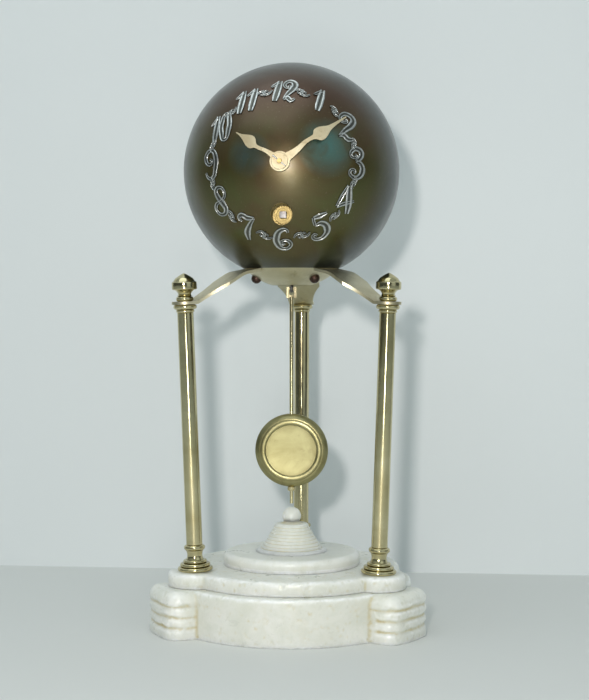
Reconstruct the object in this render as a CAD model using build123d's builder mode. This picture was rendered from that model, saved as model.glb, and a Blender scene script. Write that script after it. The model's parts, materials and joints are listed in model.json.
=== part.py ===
from build123d import *
import os
from math import asin, atan2, cos, degrees, hypot, pi, radians, sin, sqrt, tan

os.makedirs("parts", exist_ok=True)

# A ball clock: a patinated brass globe with a spring movement inside, carried by a pressed
# brass cradle on three leaning columns, over a three-lobed alabaster base. A short pendulum
# hangs from the pallets through the globe's mouth and the cradle.
# Millimetres. Z is up, Z = 0 is the table, and the dial looks towards -Y.

# Fits shared by all pieces
overrun = 3.0  # how far a cut runs past its stock
running_clearance = 0.05  # radial, a shaft in its hole
loose_clearance = 0.2  # radial, a screw or rod in its hole
turning_gap = 0.4  # between neighbours that turn apart

# Alabaster base
drum_radius = 68.0
block_height = 26.0
drum_edge_round = 1.2
lobe_reach = 82.0
lobe_half_width = 19.5
lobe_corner_round = 8.0
lobe_shoulder_round = 6.0
shoulder_limit_share = 0.9  # of the corner's round, as much as the shoulder can take
lobe_groove_depth = 0.9
lobe_groove_shares = (0.25, 0.47, 0.70)  # of the block's height
slab_radius = 61.5
slab_height = 8.2
slab_edge_round = 1.8
ear_radius = 15.2
disc_radius = 38.8
disc_height = 7.1
disc_edge_round = 3.0
boss_foot_radius = 21.0
boss_foot_height = 2.5
boss_radius = 14.8
boss_neck_radius = 9.7
boss_height = 13.0
boss_ring_count = 4
boss_groove_side = 0.8
knob_radius = 5.4
knob_height = 9.4

# Columns, leaning outwards to the top
column_angles = {"rear": 90, "left": 210, "right": 330}
foot_circle_radius = 58.6
top_circle_radius = 64.4
column_height = 147.4
shaft_radius = 4.5
shaft_wall = 1.0
foot_disc_radius = 9.8
foot_disc_height = 2.4
foot_ring_radius = 8.4
foot_ring_height = 2.0
foot_collar_radius = 6.6
foot_collar_height = 1.8
foot_neck_radius = 4.2
foot_neck_height = 5.2
foot_bead_radius = 5.9
foot_bead_height = 3.0
foot_trim = 0.8  # stock below the foot, cut level with the slab
capital_bead_radius = 6.5
capital_bead_height = 2.8
capital_ring_radius = 5.1
capital_ring_height = 1.8
finial_ring_radius = 4.9
finial_ring_height = 2.8
finial_neck_radius = 3.5
finial_neck_height = 3.6
finial_head_radius = 6.9
finial_head_height = 4.6
finial_head_round = 0.8
finial_shoulder_radius = 4.9
finial_shoulder_height = 1.8
finial_point_height = 2.8
finial_thread_depth = 9.0

# Tie rods through the columns, nutted under the base
rod_radius = 1.8
recess_radius = 8.0
recess_depth = 9.0
washer_radius = 6.8
washer_height = 1.2
nut_radius = 4.0
nut_height = 4.0
rod_tail = 1.2  # below the nut

# Globe
ball_radius = 61.0
ball_wall = 1.5
mouth_radius = 23.0
lap_length = 4.0
lap_wall = 1.0
lap_clearance = 0.1
winding_drop = 27.0  # from the dial's centre down to the winding square
winding_hole_radius = 5.75
winding_rim_width = 0.45
winding_rim_height = 0.25

# Numerals and the scrolls between them, raised on the globe
numeral_circle_angle = 39.7  # from the dial's axis, at the globe's centre
numeral_height = 15.6
numeral_stroke = 2.4
numeral_relief = 0.7
numeral_step_share = 0.43  # from digit to digit, of the numeral's height
scroll_length = 9.0
scroll_stroke = 1.4
scroll_shrink_share = 0.3  # of its length, for the tighter gaps beside three and nine
pen_steps = 3  # bars to each span of a pen stroke
# Centre lines of the digits, as shares of the numeral's height, with a short six that clears the winding hole
digit_stroke_shares = {
    "0": [[(0.02, 0.99), (-0.21, 0.52), (-0.02, 0.02), (0.20, 0.48), (0.04, 0.99)]],
    "1": [[(-0.15, 0.78), (-0.02, 0.86), (0.09, 0.99)], [(0.09, 0.99), (-0.05, 0.02)]],
    "2": [
        [(-0.05, 0.68), (-0.21, 0.80), (0.00, 0.98), (0.21, 0.80), (0.08, 0.46), (-0.20, 0.10)],
        [(-0.20, 0.09), (-0.03, 0.14), (0.12, 0.03), (0.28, 0.10)],
    ],
    "3": [
        [(-0.05, 0.72), (-0.18, 0.84), (0.00, 0.98), (0.19, 0.80), (-0.04, 0.56)],
        [(-0.04, 0.56), (0.24, 0.32), (0.00, 0.02), (-0.23, 0.16), (-0.08, 0.26)],
    ],
    "4": [[(0.12, 0.99), (-0.25, 0.34)], [(-0.25, 0.34), (0.25, 0.34)], [(0.12, 0.99), (0.07, 0.01)]],
    "5": [
        [(-0.15, 0.94), (0.22, 0.98)],
        [(-0.15, 0.94), (-0.17, 0.58)],
        [(-0.17, 0.58), (0.08, 0.62), (0.23, 0.34), (0.00, 0.02), (-0.23, 0.14), (-0.10, 0.26)],
    ],
    "6": [
        [(0.18, 0.77), (0.00, 0.85), (-0.21, 0.51), (-0.13, 0.06), (0.05, -0.02), (0.23, 0.18), (0.05, 0.37),
         (-0.06, 0.26)],
    ],
    "7": [
        [(-0.23, 0.82), (-0.10, 0.96), (0.05, 0.90), (0.24, 0.97)],
        [(0.24, 0.97), (0.08, 0.56), (0.03, 0.01)],
    ],
    "8": [
        [(0.18, 0.82), (0.00, 0.98), (-0.18, 0.80), (0.00, 0.54), (0.21, 0.24), (0.00, 0.02), (-0.20, 0.22),
         (0.00, 0.50), (0.18, 0.78)],
    ],
    "9": [
        [(-0.18, 0.12), (0.00, 0.04), (0.21, 0.44), (0.15, 0.88), (-0.03, 0.98), (-0.22, 0.76), (-0.05, 0.54),
         (0.08, 0.68)],
    ],
}
# Centre line of a scroll, as shares of its length
scroll_shares = [[(-0.47, 0.46), (-0.25, 0.66), (0.00, 0.50), (0.25, 0.34), (0.47, 0.54)]]

# Pressed cradle under the globe
cradle_sheet = 1.6
cradle_rise = 20.2  # from the arm tabs up to the rim that holds the globe
cradle_rim_radius = 26.8
dish_depth = 9.3
dish_hole_radius = 11.0
arm_lap = 3.0
arm_shoulder_radius = 33.5
arm_shoulder_drop = 3.6
arm_shoulder_bend = 12.0
tab_half_width = 7.3
tab_flat = 5.0  # from the column's axis in to the bend
tab_bend = 4.0
arm_root_half_width = 12.5
arm_flare_radius = 29.0
cradle_screw_circle = 20.0
cradle_screw_turn = -15  # degrees from the arms
cradle_screw_radius = 1.5
cradle_screw_length = 9.5
cradle_screw_head_radius = 2.9
cradle_screw_head_height = 1.9
neck_ring_bore = 12.5
neck_ring_radius = 27.0
neck_ring_edge = 3.0

# Movement plates
plate_set_back = 18.0  # behind the inside of the globe at the dial's centre
plate_radius = 36.0
plate_thickness = 1.8
plate_spacing = 24.0
pillar_count = 4
pillar_start_angle = 45
pillar_circle = 31.5
pillar_radius = 2.6
pillar_pivot_radius = 1.6
pillar_tail = 3.0
pillar_pin_radius = 0.6
pillar_pin_length = 7.0
post_count = 3
post_start_angle = 90
post_circle = 32.5
post_radius = 2.8
movement_screw_radius = 1.2
movement_screw_head_radius = 2.4
movement_screw_head_height = 1.4
movement_screw_length = 7.0

# Wheel train: tooth counts and modules
barrel_teeth = 48
intermediate_leaves = 8
barrel_module = 0.7
intermediate_teeth = 48
centre_leaves = 8
intermediate_module = 0.5
centre_teeth = 60
third_leaves = 6
centre_module = 0.42
third_teeth = 63
escape_leaves = 6
third_module = 0.36
escape_teeth = 40
escape_radius = 8.0
escape_depth = 1.3
cannon_leaves = 10
minute_teeth = 30
minute_leaves = 8
hour_teeth = 32
motion_module = 0.5
wheel_addendum_share = 0.9
wheel_dedendum_share = 1.0
wheel_root_share = 0.53
wheel_tip_share = 0.15
leaf_addendum_share = 0.6
leaf_dedendum_share = 1.15
leaf_root_share = 0.36
leaf_tip_share = 0.26
saw_back_share = 0.12  # of a ratchet or escape tooth's pitch, how far its steep flank leans
wheel_thickness = 1.2
pinion_length = 2.6
arbor_radius = 0.6
pivot_shoulder = 1.0  # clear of the plates
pallet_arbor_drop = 10.5  # from the pallet arbor down to the escape arbor
pallet_arbor_rise = 24.6  # from the dial's centre up to the pallet arbor

# Levels in the movement, from the back of the front plate backwards
centre_level = 0.9
barrel_level = 3.6
third_level = 6.8
escape_level = 13.0
intermediate_level = 19.0

# Barrel, winding and click
barrel_drum_radius = 15.2
barrel_wall = 1.2
barrel_length = 14.0
cover_thickness = 1.4
barrel_arbor_radius = 2.0
barrel_hub_radius = 3.4
spring_thickness = 0.7
spring_pitch = 1.6
spring_turns = 5
ratchet_teeth = 20
ratchet_radius = 5.5
ratchet_depth = 0.9
ratchet_thickness = 2.0
square_side = 3.6
square_length = 4.0
click_reach = 10.5  # from the winding arbor to the click's pivot
click_rise = 3.0
click_hub_radius = 2.2
click_thickness = 1.4
click_beak_angle = 30  # round the ratchet, from the top
click_beak_radius = 0.7
click_screw_radius = 1.0
click_screw_head_radius = 1.9
click_screw_head_height = 1.0
click_spring_thickness = 0.5
click_spring_width = 1.2
click_spring_gap = 0.9
click_spring_foot_radius = 1.6
click_spring_rise = 7.0

# Hands and motion work
centre_arbor_radius = 1.2
cannon_pipe_radius = 2.0
hour_pipe_radius = 3.0
hand_hole_clearance = 1.0
hour_hand_lift = 1.2  # above the globe
minute_hand_lift = 2.6
hand_sheet = 0.8
hub_radius = 5.3
minute_hand_length = 42.0
hour_hand_length = 29.0
# Hands bent like a whiplash: shares of the length along it, of its bend aside and of its half width
minute_hand_shares = (
    (0.00, 0.010, 0.066), (0.12, 0.014, 0.054), (0.21, 0.015, 0.041), (0.30, 0.008, 0.032),
    (0.40, -0.008, 0.026), (0.49, -0.004, 0.026), (0.535, 0.004, 0.041), (0.565, 0.007, 0.076),
    (0.61, 0.009, 0.087), (0.67, 0.010, 0.071), (0.73, 0.010, 0.041), (0.80, 0.008, 0.024),
    (0.89, 0.004, 0.015), (1.00, 0.000, 0.007),
)
hour_hand_shares = (
    (0.00, 0.016, 0.062), (0.18, 0.018, 0.052), (0.28, 0.018, 0.039), (0.38, 0.006, 0.034),
    (0.49, -0.017, 0.033), (0.545, -0.020, 0.042), (0.59, -0.018, 0.085), (0.66, -0.005, 0.112),
    (0.76, 0.000, 0.085), (0.84, -0.002, 0.046), (0.91, -0.006, 0.021), (1.00, -0.010, 0.010),
)
washer_disc_radius = 4.4
washer_disc_height = 0.8
taper_pin_radius = 0.4  # at its thick end
taper_pin_taper = 1  # degrees
taper_pin_length = 9.0
taper_pin_turn = -40  # degrees
shown_hours = 10
shown_minutes = 9
stud_radius = 0.85
stud_collar_radius = 1.5

# Pallets, cock and pendulum
pallet_thickness = 2.4
pallet_gap = 0.9  # clear of the escape wheel's tips over the whole swing
pallet_arbor_radius = 0.9
anchor_half_span = 6.4
anchor_top = 1.9
anchor_claw_drop = 3.4
cock_half_span = 9.0
cock_width = 5.0
cock_rise = 8.0  # behind the back plate
cock_thickness = 1.8
cock_screw_radius = 1.0
cock_screw_head_radius = 1.9
cock_screw_head_height = 1.2
leader_radius = 0.9
leader_back = 1.9  # behind the vertical axis
leader_collar_radius = 2.4
leader_collar_length = 2.4
hook_drop = 3.4  # from the cradle's underside to the middle of the hook
hook_tip = 2.4
hook_bend = 1.1
eye_width = 5.6
eye_height = 6.4
eye_thickness = 1.2
eye_bore_radius = 1.6
pendulum_rod_radius = 1.2
rod_thread_radius = 1.0
tip_gap = 2.0  # over the knob of the base
bob_above_tip = 30.4
bob_radius = 20.6
bob_edge = 2.2
bob_thickness = 7.6
bob_ridge_radius = 16.0
bob_ridge_width = 1.6
bob_ridge_height = 0.8
rating_nut_radius = 2.3
rating_nut_height = 2.6

# Heights and places that follow from the sizes above
slab_top = block_height + slab_height
disc_top = slab_top + disc_height
boss_top = disc_top + boss_foot_height + boss_height
knob_top = boss_top + knob_height
column_lean = atan2(top_circle_radius - foot_circle_radius, column_height)
column_length = column_height / cos(column_lean)
tab_height = slab_top + column_height
rim_height = tab_height + cradle_rise
dial_height = rim_height + sqrt(ball_radius**2 - cradle_rim_radius**2)
ball_bore = ball_radius - ball_wall
dish_bottom = rim_height - dish_depth
dish_centre_rise = (cradle_rim_radius**2 + dish_depth**2 - dish_hole_radius**2) / (2 * dish_depth)
dish_sphere = hypot(dish_hole_radius, dish_centre_rise)
dish_centre = Vector(0, 0, dish_bottom + dish_centre_rise)
foot_height = foot_disc_height + foot_ring_height + foot_collar_height + foot_neck_height + foot_bead_height
capital_height = capital_bead_height + capital_ring_height
dial_axis = Axis((0, 0, dial_height), (0, 1, 0))
dial_point = Vector(0, 0, dial_height)


def write(piece, name):
    """Label a finished piece and write its STEP file."""
    piece.part.label = name
    export_step(piece.part, f"parts/{name}.step")


# Base
def lobe_outline(height, inset):
    """One lobe in plan, pointing to the rear, drawn smaller by an inset."""
    with BuildSketch(Plane.XY.offset(height)) as outline:
        Rectangle(2 * (lobe_half_width - inset), lobe_reach + overrun, align=(Align.CENTER, Align.MIN))
        Circle(lobe_reach - inset, mode=Mode.INTERSECT)
        fillet(outline.vertices().group_by(Axis.Y)[-1], lobe_corner_round)
    return outline.sketch


def lobe_sections():
    """The lobe's outlines from the table up, drawn in at each groove."""
    sections = [lobe_outline(0, 0)]
    for share in lobe_groove_shares:
        middle = share * block_height
        sections.append(lobe_outline(middle - lobe_groove_depth, 0))
        sections.append(lobe_outline(middle, lobe_groove_depth))
        sections.append(lobe_outline(middle + lobe_groove_depth, 0))
    sections.append(lobe_outline(block_height, 0))
    return sections


def column_frame(angle):
    """Frame of a column: origin at its foot on the slab, Z along its leaning axis."""
    outward = Vector(cos(radians(angle)), sin(radians(angle)), 0)
    foot = outward * foot_circle_radius + Vector(0, 0, slab_top)
    head = outward * top_circle_radius + Vector(0, 0, tab_height)
    return Plane(foot, x_dir=Vector(-outward.Y, outward.X, 0), z_dir=head - foot)


def profile_plane(frame):
    """Plane for a half profile: X is the radius and Y runs along the frame's axis."""
    return Plane(frame.origin, x_dir=frame.x_dir, z_dir=frame.x_dir.cross(frame.z_dir))


def frame_axis(frame):
    """The axis that a frame's turned pieces revolve about."""
    return Axis(frame.origin, frame.z_dir)


def collar(radius, base, height):
    """A plain ring on a turned half profile."""
    with Locations((0, base)):
        Rectangle(radius, height, align=(Align.MIN, Align.MIN))


def bead(radius, base, height):
    """A ring with a half-round edge on a turned half profile."""
    collar(radius - height / 2, base, height)
    with Locations((radius - height / 2, base + height / 2)):
        Circle(height / 2)


def bore(radius, base, height):
    """A hole along the axis of a turned half profile."""
    with Locations((0, base)):
        Rectangle(radius, height, align=(Align.MIN, Align.MIN), mode=Mode.SUBTRACT)


column_frames = {name: column_frame(angle) for name, angle in column_angles.items()}
rod_hole_radius = rod_radius + loose_clearance
stack_depth = slab_top / cos(column_lean)  # base under a column, along the column's axis
recess_ceiling = recess_depth - stack_depth

with BuildPart() as lobe:
    loft(lobe_sections(), ruled=True)
    shoulder_round = min(lobe_shoulder_round, lobe_corner_round * shoulder_limit_share)
    fillet(lobe.faces().sort_by(Axis.Z)[-1].edges(), shoulder_round)

with BuildPart() as base_block:
    with BuildSketch():
        Circle(drum_radius)
    extrude(amount=block_height)
    fillet(base_block.edges().group_by(Axis.Z)[-1], drum_edge_round)
    with PolarLocations(0, len(column_angles)):
        add(lobe.part)
    for frame in column_frames.values():
        with BuildSketch(frame):
            Circle(rod_hole_radius)
        extrude(amount=-stack_depth - overrun, mode=Mode.SUBTRACT)
        with BuildSketch(frame.offset(recess_ceiling)):
            Circle(recess_radius)
        extrude(amount=-recess_depth - overrun, mode=Mode.SUBTRACT)
write(base_block, "base_block")

with BuildPart() as base_slab:
    with BuildSketch(Plane.XY.offset(block_height)):
        Circle(slab_radius)
        with PolarLocations(foot_circle_radius, len(column_angles), column_angles["rear"]):
            Circle(ear_radius)
    extrude(amount=slab_height)
    fillet(base_slab.edges().group_by(Axis.Z)[-1], slab_edge_round)
    for frame in column_frames.values():
        with BuildSketch(frame.offset(overrun)):
            Circle(rod_hole_radius)
        extrude(amount=-stack_depth, mode=Mode.SUBTRACT)
write(base_slab, "base_slab")

with BuildPart() as base_disc:
    with BuildSketch(Plane.XY.offset(slab_top)):
        Circle(disc_radius)
    extrude(amount=disc_height)
    fillet(base_disc.edges().group_by(Axis.Z)[-1], disc_edge_round)
write(base_disc, "base_disc")

boss_base = disc_top + boss_foot_height
boss_slope = (boss_radius - boss_neck_radius) / boss_height
with BuildPart() as base_boss:
    with BuildSketch(Plane.XZ):
        with BuildLine():
            Line((0, disc_top), (boss_foot_radius, disc_top))
            flare = RadiusArc((boss_foot_radius, disc_top), (boss_radius, boss_base), boss_foot_radius)
            Line(flare @ 1, (boss_neck_radius, boss_top))
            Line((boss_neck_radius, boss_top), (knob_radius, boss_top))
            Line((knob_radius, boss_top), (knob_radius, knob_top - knob_radius))
            RadiusArc((knob_radius, knob_top - knob_radius), (0, knob_top), -knob_radius)
            Line((0, knob_top), (0, disc_top))
        make_face()
        for ring in range(boss_ring_count):
            ring_rise = (ring + 1) * boss_height / (boss_ring_count + 1)
            with Locations((boss_radius - boss_slope * ring_rise, boss_base + ring_rise)):
                Rectangle(boss_groove_side, boss_groove_side, rotation=45, mode=Mode.SUBTRACT)
    revolve(axis=Axis.Z)
write(base_boss, "base_boss")

# Columns
for name, frame in column_frames.items():
    with BuildPart() as column_foot:
        with BuildSketch(profile_plane(frame)):
            level = 0
            collar(foot_disc_radius, -foot_trim, foot_trim + foot_disc_height / 2)
            bead(foot_disc_radius, level, foot_disc_height)
            level += foot_disc_height
            bead(foot_ring_radius, level, foot_ring_height)
            level += foot_ring_height
            bead(foot_collar_radius, level, foot_collar_height)
            level += foot_collar_height
            collar(foot_bead_radius - foot_bead_height / 2, level, foot_neck_height)
            with Locations((foot_neck_radius + foot_neck_height / 2, level + foot_neck_height / 2)):
                Circle(foot_neck_height / 2, mode=Mode.SUBTRACT)
            level += foot_neck_height
            bead(foot_bead_radius, level, foot_bead_height)
            bore(rod_hole_radius, -foot_trim, foot_trim + foot_height)
        revolve(axis=frame_axis(frame))
        split(bisect_by=Plane.XY.offset(slab_top), keep=Keep.TOP)
    write(column_foot, f"column_foot_{name}")

    with BuildPart() as column_shaft:
        with BuildSketch(frame.offset(foot_height)):
            Circle(shaft_radius)
            Circle(shaft_radius - shaft_wall, mode=Mode.SUBTRACT)
        extrude(amount=column_length - capital_height - foot_height)
    write(column_shaft, f"column_shaft_{name}")

    with BuildPart() as column_capital:
        with BuildSketch(profile_plane(frame)):
            ring_level = column_length - capital_height
            bead(capital_ring_radius, ring_level, capital_ring_height)
            bead(capital_bead_radius, ring_level + capital_ring_height, capital_bead_height)
            bore(rod_hole_radius, ring_level, capital_height)
        revolve(axis=frame_axis(frame))
    write(column_capital, f"column_capital_{name}")

    with BuildPart() as finial:
        with BuildSketch(profile_plane(frame)):
            finial_base = column_length + cradle_sheet
            level = finial_base
            bead(finial_ring_radius, level, finial_ring_height)
            level += finial_ring_height
            collar(finial_ring_radius, level, finial_neck_height)
            with Locations((finial_neck_radius + finial_neck_height / 2, level + finial_neck_height / 2)):
                Circle(finial_neck_height / 2, mode=Mode.SUBTRACT)
            level += finial_neck_height
            head_top = level + finial_head_height
            with BuildLine():
                Polyline(
                    (0, level),
                    (finial_head_radius - finial_head_round, level),
                    (finial_head_radius, level + finial_head_round),
                    (finial_head_radius, head_top - finial_head_round),
                    (finial_head_radius - finial_head_round, head_top),
                    (finial_shoulder_radius, head_top + finial_shoulder_height),
                    (0, head_top + finial_shoulder_height + finial_point_height),
                    close=True,
                )
            make_face()
            bore(rod_radius, finial_base, finial_thread_depth)
        revolve(axis=frame_axis(frame))
    write(finial, f"finial_{name}")

nut_top = recess_ceiling - washer_height
rod_bottom = nut_top - nut_height - rod_tail
rod_top = column_length + cradle_sheet + finial_thread_depth
with BuildPart() as tie_rods:
    for frame in column_frames.values():
        with BuildSketch(frame.offset(rod_bottom)):
            Circle(rod_radius)
        extrude(amount=rod_top - rod_bottom)
write(tie_rods, "tie_rods")

with BuildPart() as tie_rod_washers:
    for frame in column_frames.values():
        with BuildSketch(frame.offset(recess_ceiling)):
            Circle(washer_radius)
            Circle(rod_radius + loose_clearance, mode=Mode.SUBTRACT)
        extrude(amount=-washer_height)
write(tie_rod_washers, "tie_rod_washers")

with BuildPart() as tie_rod_nuts:
    for frame in column_frames.values():
        with BuildSketch(frame.offset(nut_top)):
            RegularPolygon(nut_radius, 6)
            Circle(rod_radius, mode=Mode.SUBTRACT)
        extrude(amount=-nut_height)
write(tie_rod_nuts, "tie_rod_nuts")

# Cradle
tab_reach = top_circle_radius + tab_half_width
tab_bend_radius = top_circle_radius - tab_flat
with BuildPart() as arm:
    with BuildSketch(Plane.YZ):
        with BuildLine():
            FilletPolyline(
                (cradle_rim_radius - arm_lap, rim_height - cradle_sheet),
                (arm_shoulder_radius, rim_height - arm_shoulder_drop),
                (tab_bend_radius, tab_height + tab_flat * tan(column_lean)),
                (tab_reach, tab_height - tab_half_width * tan(column_lean)),
                radius=(arm_shoulder_bend, tab_bend),
            )
            offset(amount=cradle_sheet, side=Side.LEFT)
        make_face()
    extrude(amount=arm_root_half_width, both=True)
    with BuildSketch():
        with BuildLine():
            flare_run = sqrt(2 * arm_flare_radius * (arm_root_half_width - tab_half_width)
                             - (arm_root_half_width - tab_half_width) ** 2)
            root_end = tab_bend_radius - flare_run
            Line((0, 0), (arm_root_half_width, 0))
            Line((arm_root_half_width, 0), (arm_root_half_width, root_end))
            RadiusArc((arm_root_half_width, root_end), (tab_half_width, tab_bend_radius), arm_flare_radius)
            Line((tab_half_width, tab_bend_radius), (tab_half_width, top_circle_radius))
            RadiusArc((tab_half_width, top_circle_radius), (0, tab_reach), -tab_half_width)
            mirror(about=Plane.YZ)
        make_face()
    extrude(amount=dial_height, mode=Mode.INTERSECT)


def cradle_screw_frame(angle):
    """Frame of a cradle screw: origin on the dish's underside, Z into the globe."""
    side = sqrt(dish_sphere**2 - cradle_screw_circle**2)
    turn = radians(angle + cradle_screw_turn)
    seat = dish_centre + Vector(cradle_screw_circle * cos(turn), cradle_screw_circle * sin(turn), -side)
    return Plane(seat, x_dir=Vector(-sin(turn), cos(turn), 0), z_dir=dish_centre - seat)


screw_frames = [cradle_screw_frame(angle) for angle in column_angles.values()]
with BuildPart() as cradle:
    with BuildSketch(Plane.XZ):
        with Locations((0, dish_centre.Z)):
            Circle(dish_sphere)
            Circle(dish_sphere - cradle_sheet, mode=Mode.SUBTRACT)
        with Locations((dish_hole_radius, 0)):
            dish_width = cradle_rim_radius - dish_hole_radius
            Rectangle(dish_width, rim_height, align=(Align.MIN, Align.MIN), mode=Mode.INTERSECT)
    revolve(axis=Axis.Z)
    with PolarLocations(0, len(column_angles)):
        add(arm.part)
    with Locations(dial_point):
        Sphere(ball_radius, mode=Mode.SUBTRACT)
    for frame in column_frames.values():
        with BuildSketch(frame.offset(column_length - overrun)):
            Circle(rod_hole_radius)
        extrude(amount=2 * overrun + cradle_sheet, mode=Mode.SUBTRACT)
    for frame in screw_frames:
        with BuildSketch(frame.offset(-overrun)):
            Circle(cradle_screw_radius + loose_clearance)
        extrude(amount=2 * overrun + cradle_sheet, mode=Mode.SUBTRACT)
write(cradle, "cradle")

screw_dome_radius = (cradle_screw_head_radius**2 / cradle_screw_head_height + cradle_screw_head_height) / 2
with BuildPart() as cradle_screws:
    for frame in screw_frames:
        with BuildSketch(profile_plane(frame)) as screw_profile:
            with BuildLine():
                Line((0, 0), (cradle_screw_head_radius, 0))
                RadiusArc((cradle_screw_head_radius, 0), (0, -cradle_screw_head_height), screw_dome_radius)
                Line((0, -cradle_screw_head_height), (0, 0))
            make_face()
            Rectangle(cradle_screw_radius, cradle_screw_length, align=(Align.MIN, Align.MIN))
        revolve(screw_profile.sketch, axis=frame_axis(frame))
write(cradle_screws, "cradle_screws")

neck_ring_top = dial_height - sqrt(ball_bore**2 - neck_ring_radius**2) + neck_ring_edge
with BuildPart() as neck_ring:
    with BuildSketch(Plane.XY.offset(neck_ring_top)):
        Circle(neck_ring_radius)
        Circle(neck_ring_bore, mode=Mode.SUBTRACT)
    extrude(amount=-neck_ring_top + dish_bottom)
    with Locations(dial_point):
        Sphere(ball_bore, mode=Mode.INTERSECT)
    for frame in screw_frames:
        with BuildSketch(frame):
            Circle(cradle_screw_radius)
        extrude(amount=cradle_screw_length, mode=Mode.SUBTRACT)
write(neck_ring, "neck_ring")


# Globe
def dial_plane(place, forward):
    """Plane square to the dial's axis at a place on the movement, some way in front of the globe's centre."""
    return Plane((place.X, -forward, dial_height + place.Y), x_dir=(1, 0, 0), z_dir=(0, -1, 0))


centre_place = Vector(0, 0)
winding_place = Vector(0, -winding_drop)
globe_plane = Plane(dial_point)
lap_bore = ball_bore - lap_clearance - lap_wall
lap_angle = degrees(asin(lap_length / ball_bore))


def polar(radius, angle):
    """Point of the globe's half profile."""
    return (radius * cos(radians(angle)), radius * sin(radians(angle)))


with BuildPart() as neck_space:
    with BuildSketch(Plane.XY.offset(dish_bottom)):
        Circle(neck_ring_radius + loose_clearance)
    extrude(amount=dial_height - dish_bottom)
    with Locations(dial_point):
        Sphere(ball_bore, mode=Mode.INTERSECT)

with BuildPart() as ball_front_shell:
    with BuildSketch(globe_plane):
        with BuildLine():
            CenterArc((0, 0), ball_radius, -90, 90)
            Line(polar(ball_radius, 0), polar(ball_bore - lap_clearance, 0))
            CenterArc((0, 0), ball_bore - lap_clearance, 0, lap_angle)
            Line(polar(ball_bore - lap_clearance, lap_angle), polar(lap_bore, lap_angle))
            CenterArc((0, 0), lap_bore, lap_angle, -2 * lap_angle)
            Line(polar(lap_bore, -lap_angle), polar(ball_bore, -lap_angle))
            CenterArc((0, 0), ball_bore, -lap_angle, lap_angle - 90)
            Line(polar(ball_bore, -90), polar(ball_radius, -90))
        make_face()
    revolve(axis=dial_axis)
    with BuildSketch():
        Circle(mouth_radius)
    extrude(amount=dial_height, mode=Mode.SUBTRACT)
    with BuildSketch(dial_plane(centre_place, 0)):
        Circle(hour_pipe_radius + hand_hole_clearance)
    extrude(amount=ball_radius + overrun, mode=Mode.SUBTRACT)
    with BuildSketch(dial_plane(winding_place, 0)):
        Circle(winding_hole_radius)
    extrude(amount=ball_radius + overrun, mode=Mode.SUBTRACT)
    add(neck_space.part, mode=Mode.SUBTRACT)
write(ball_front_shell, "ball_front_shell")

with BuildPart() as ball_rear_shell:
    with BuildSketch(globe_plane):
        with BuildLine():
            CenterArc((0, 0), ball_radius, 0, 90)
            Line(polar(ball_radius, 90), polar(ball_bore, 90))
            CenterArc((0, 0), ball_bore, 90, -90)
            Line(polar(ball_bore, 0), polar(ball_radius, 0))
        make_face()
    revolve(axis=dial_axis)
    with BuildSketch():
        Circle(mouth_radius)
    extrude(amount=dial_height, mode=Mode.SUBTRACT)
write(ball_rear_shell, "ball_rear_shell")

with BuildPart() as winding_hole_rim:
    with BuildSketch(dial_plane(winding_place, 0)):
        Circle(winding_hole_radius + winding_rim_width)
        Circle(winding_hole_radius, mode=Mode.SUBTRACT)
    extrude(amount=ball_radius + overrun)
    with Locations(dial_point):
        Sphere(ball_radius + winding_rim_height, mode=Mode.INTERSECT)
        Sphere(ball_radius, mode=Mode.SUBTRACT)
write(winding_hole_rim, "winding_hole_rim")


def numeral_plane(turn, way):
    """Plane that touches the globe on the numerals' circle, clockwise from twelve, with X along a way."""
    tilt = radians(numeral_circle_angle)
    normal = Vector(sin(tilt) * sin(turn), -cos(tilt), sin(tilt) * cos(turn))
    return Plane(dial_point + normal * ball_radius, x_dir=way - normal * way.dot(normal), z_dir=normal)


def pen_bars(strokes, middle_share, size):
    """Ends of the short bars that follow pen strokes, which are given as shares of a size."""
    bars = []
    for stroke in strokes:
        points = []
        for share_x, share_y in stroke:
            points.append(((middle_share + share_x) * size, (share_y - 1 / 2) * size))
        line = Spline(*points)
        steps = pen_steps * (len(stroke) - 2) + 1
        stops = [line @ (step / steps) for step in range(steps + 1)]
        bars.extend(zip(stops, stops[1:]))
    return bars


def raise_bars(plane, bars, width):
    """Round-ended bars that stand through the globe's surface."""
    with BuildSketch(plane) as strokes:
        for start, end in bars:
            way = end - start
            with Locations((start + end) / 2):
                SlotCenterToCenter(way.length, width, rotation=degrees(atan2(way.Y, way.X)))
    extrude(strokes.sketch, amount=numeral_height / 2, both=True)


with BuildPart() as chapter_numerals:
    for hour in range(1, 13):
        digits = str(hour)
        bars = []
        for index, digit in enumerate(digits):
            middle_share = (index - (len(digits) - 1) / 2) * numeral_step_share
            bars.extend(pen_bars(digit_stroke_shares[digit], middle_share, numeral_height))
        raise_bars(numeral_plane(hour * 2 * pi / 12, Vector(1, 0, 0)), bars, numeral_stroke)
        turn = (hour + 1 / 2) * 2 * pi / 12
        length = scroll_length * (1 - scroll_shrink_share * abs(sin(turn)))
        bars = pen_bars(scroll_shares, 0, length)
        raise_bars(numeral_plane(turn, Vector(cos(turn), 0, -sin(turn))), bars, scroll_stroke)
    with Locations(dial_point):
        Sphere(ball_radius + numeral_relief, mode=Mode.INTERSECT)
        Sphere(ball_radius, mode=Mode.SUBTRACT)
write(chapter_numerals, "chapter_numerals")


# Movement plates
def meeting_place(first, first_reach, second, second_reach, side):
    """Place at given distances from two others, on the side given by +1 or -1."""
    apart = second - first
    along = (first_reach**2 - second_reach**2 + apart.length**2) / (2 * apart.length)
    across = sqrt(first_reach**2 - along**2) * side
    way = apart.normalized()
    return first + way * along + Vector(way.Y, -way.X) * across


def centre_distance(module, teeth, leaves):
    """Distance between the axes of a wheel and the pinion that it drives."""
    return module * (teeth + leaves) / 2


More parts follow.
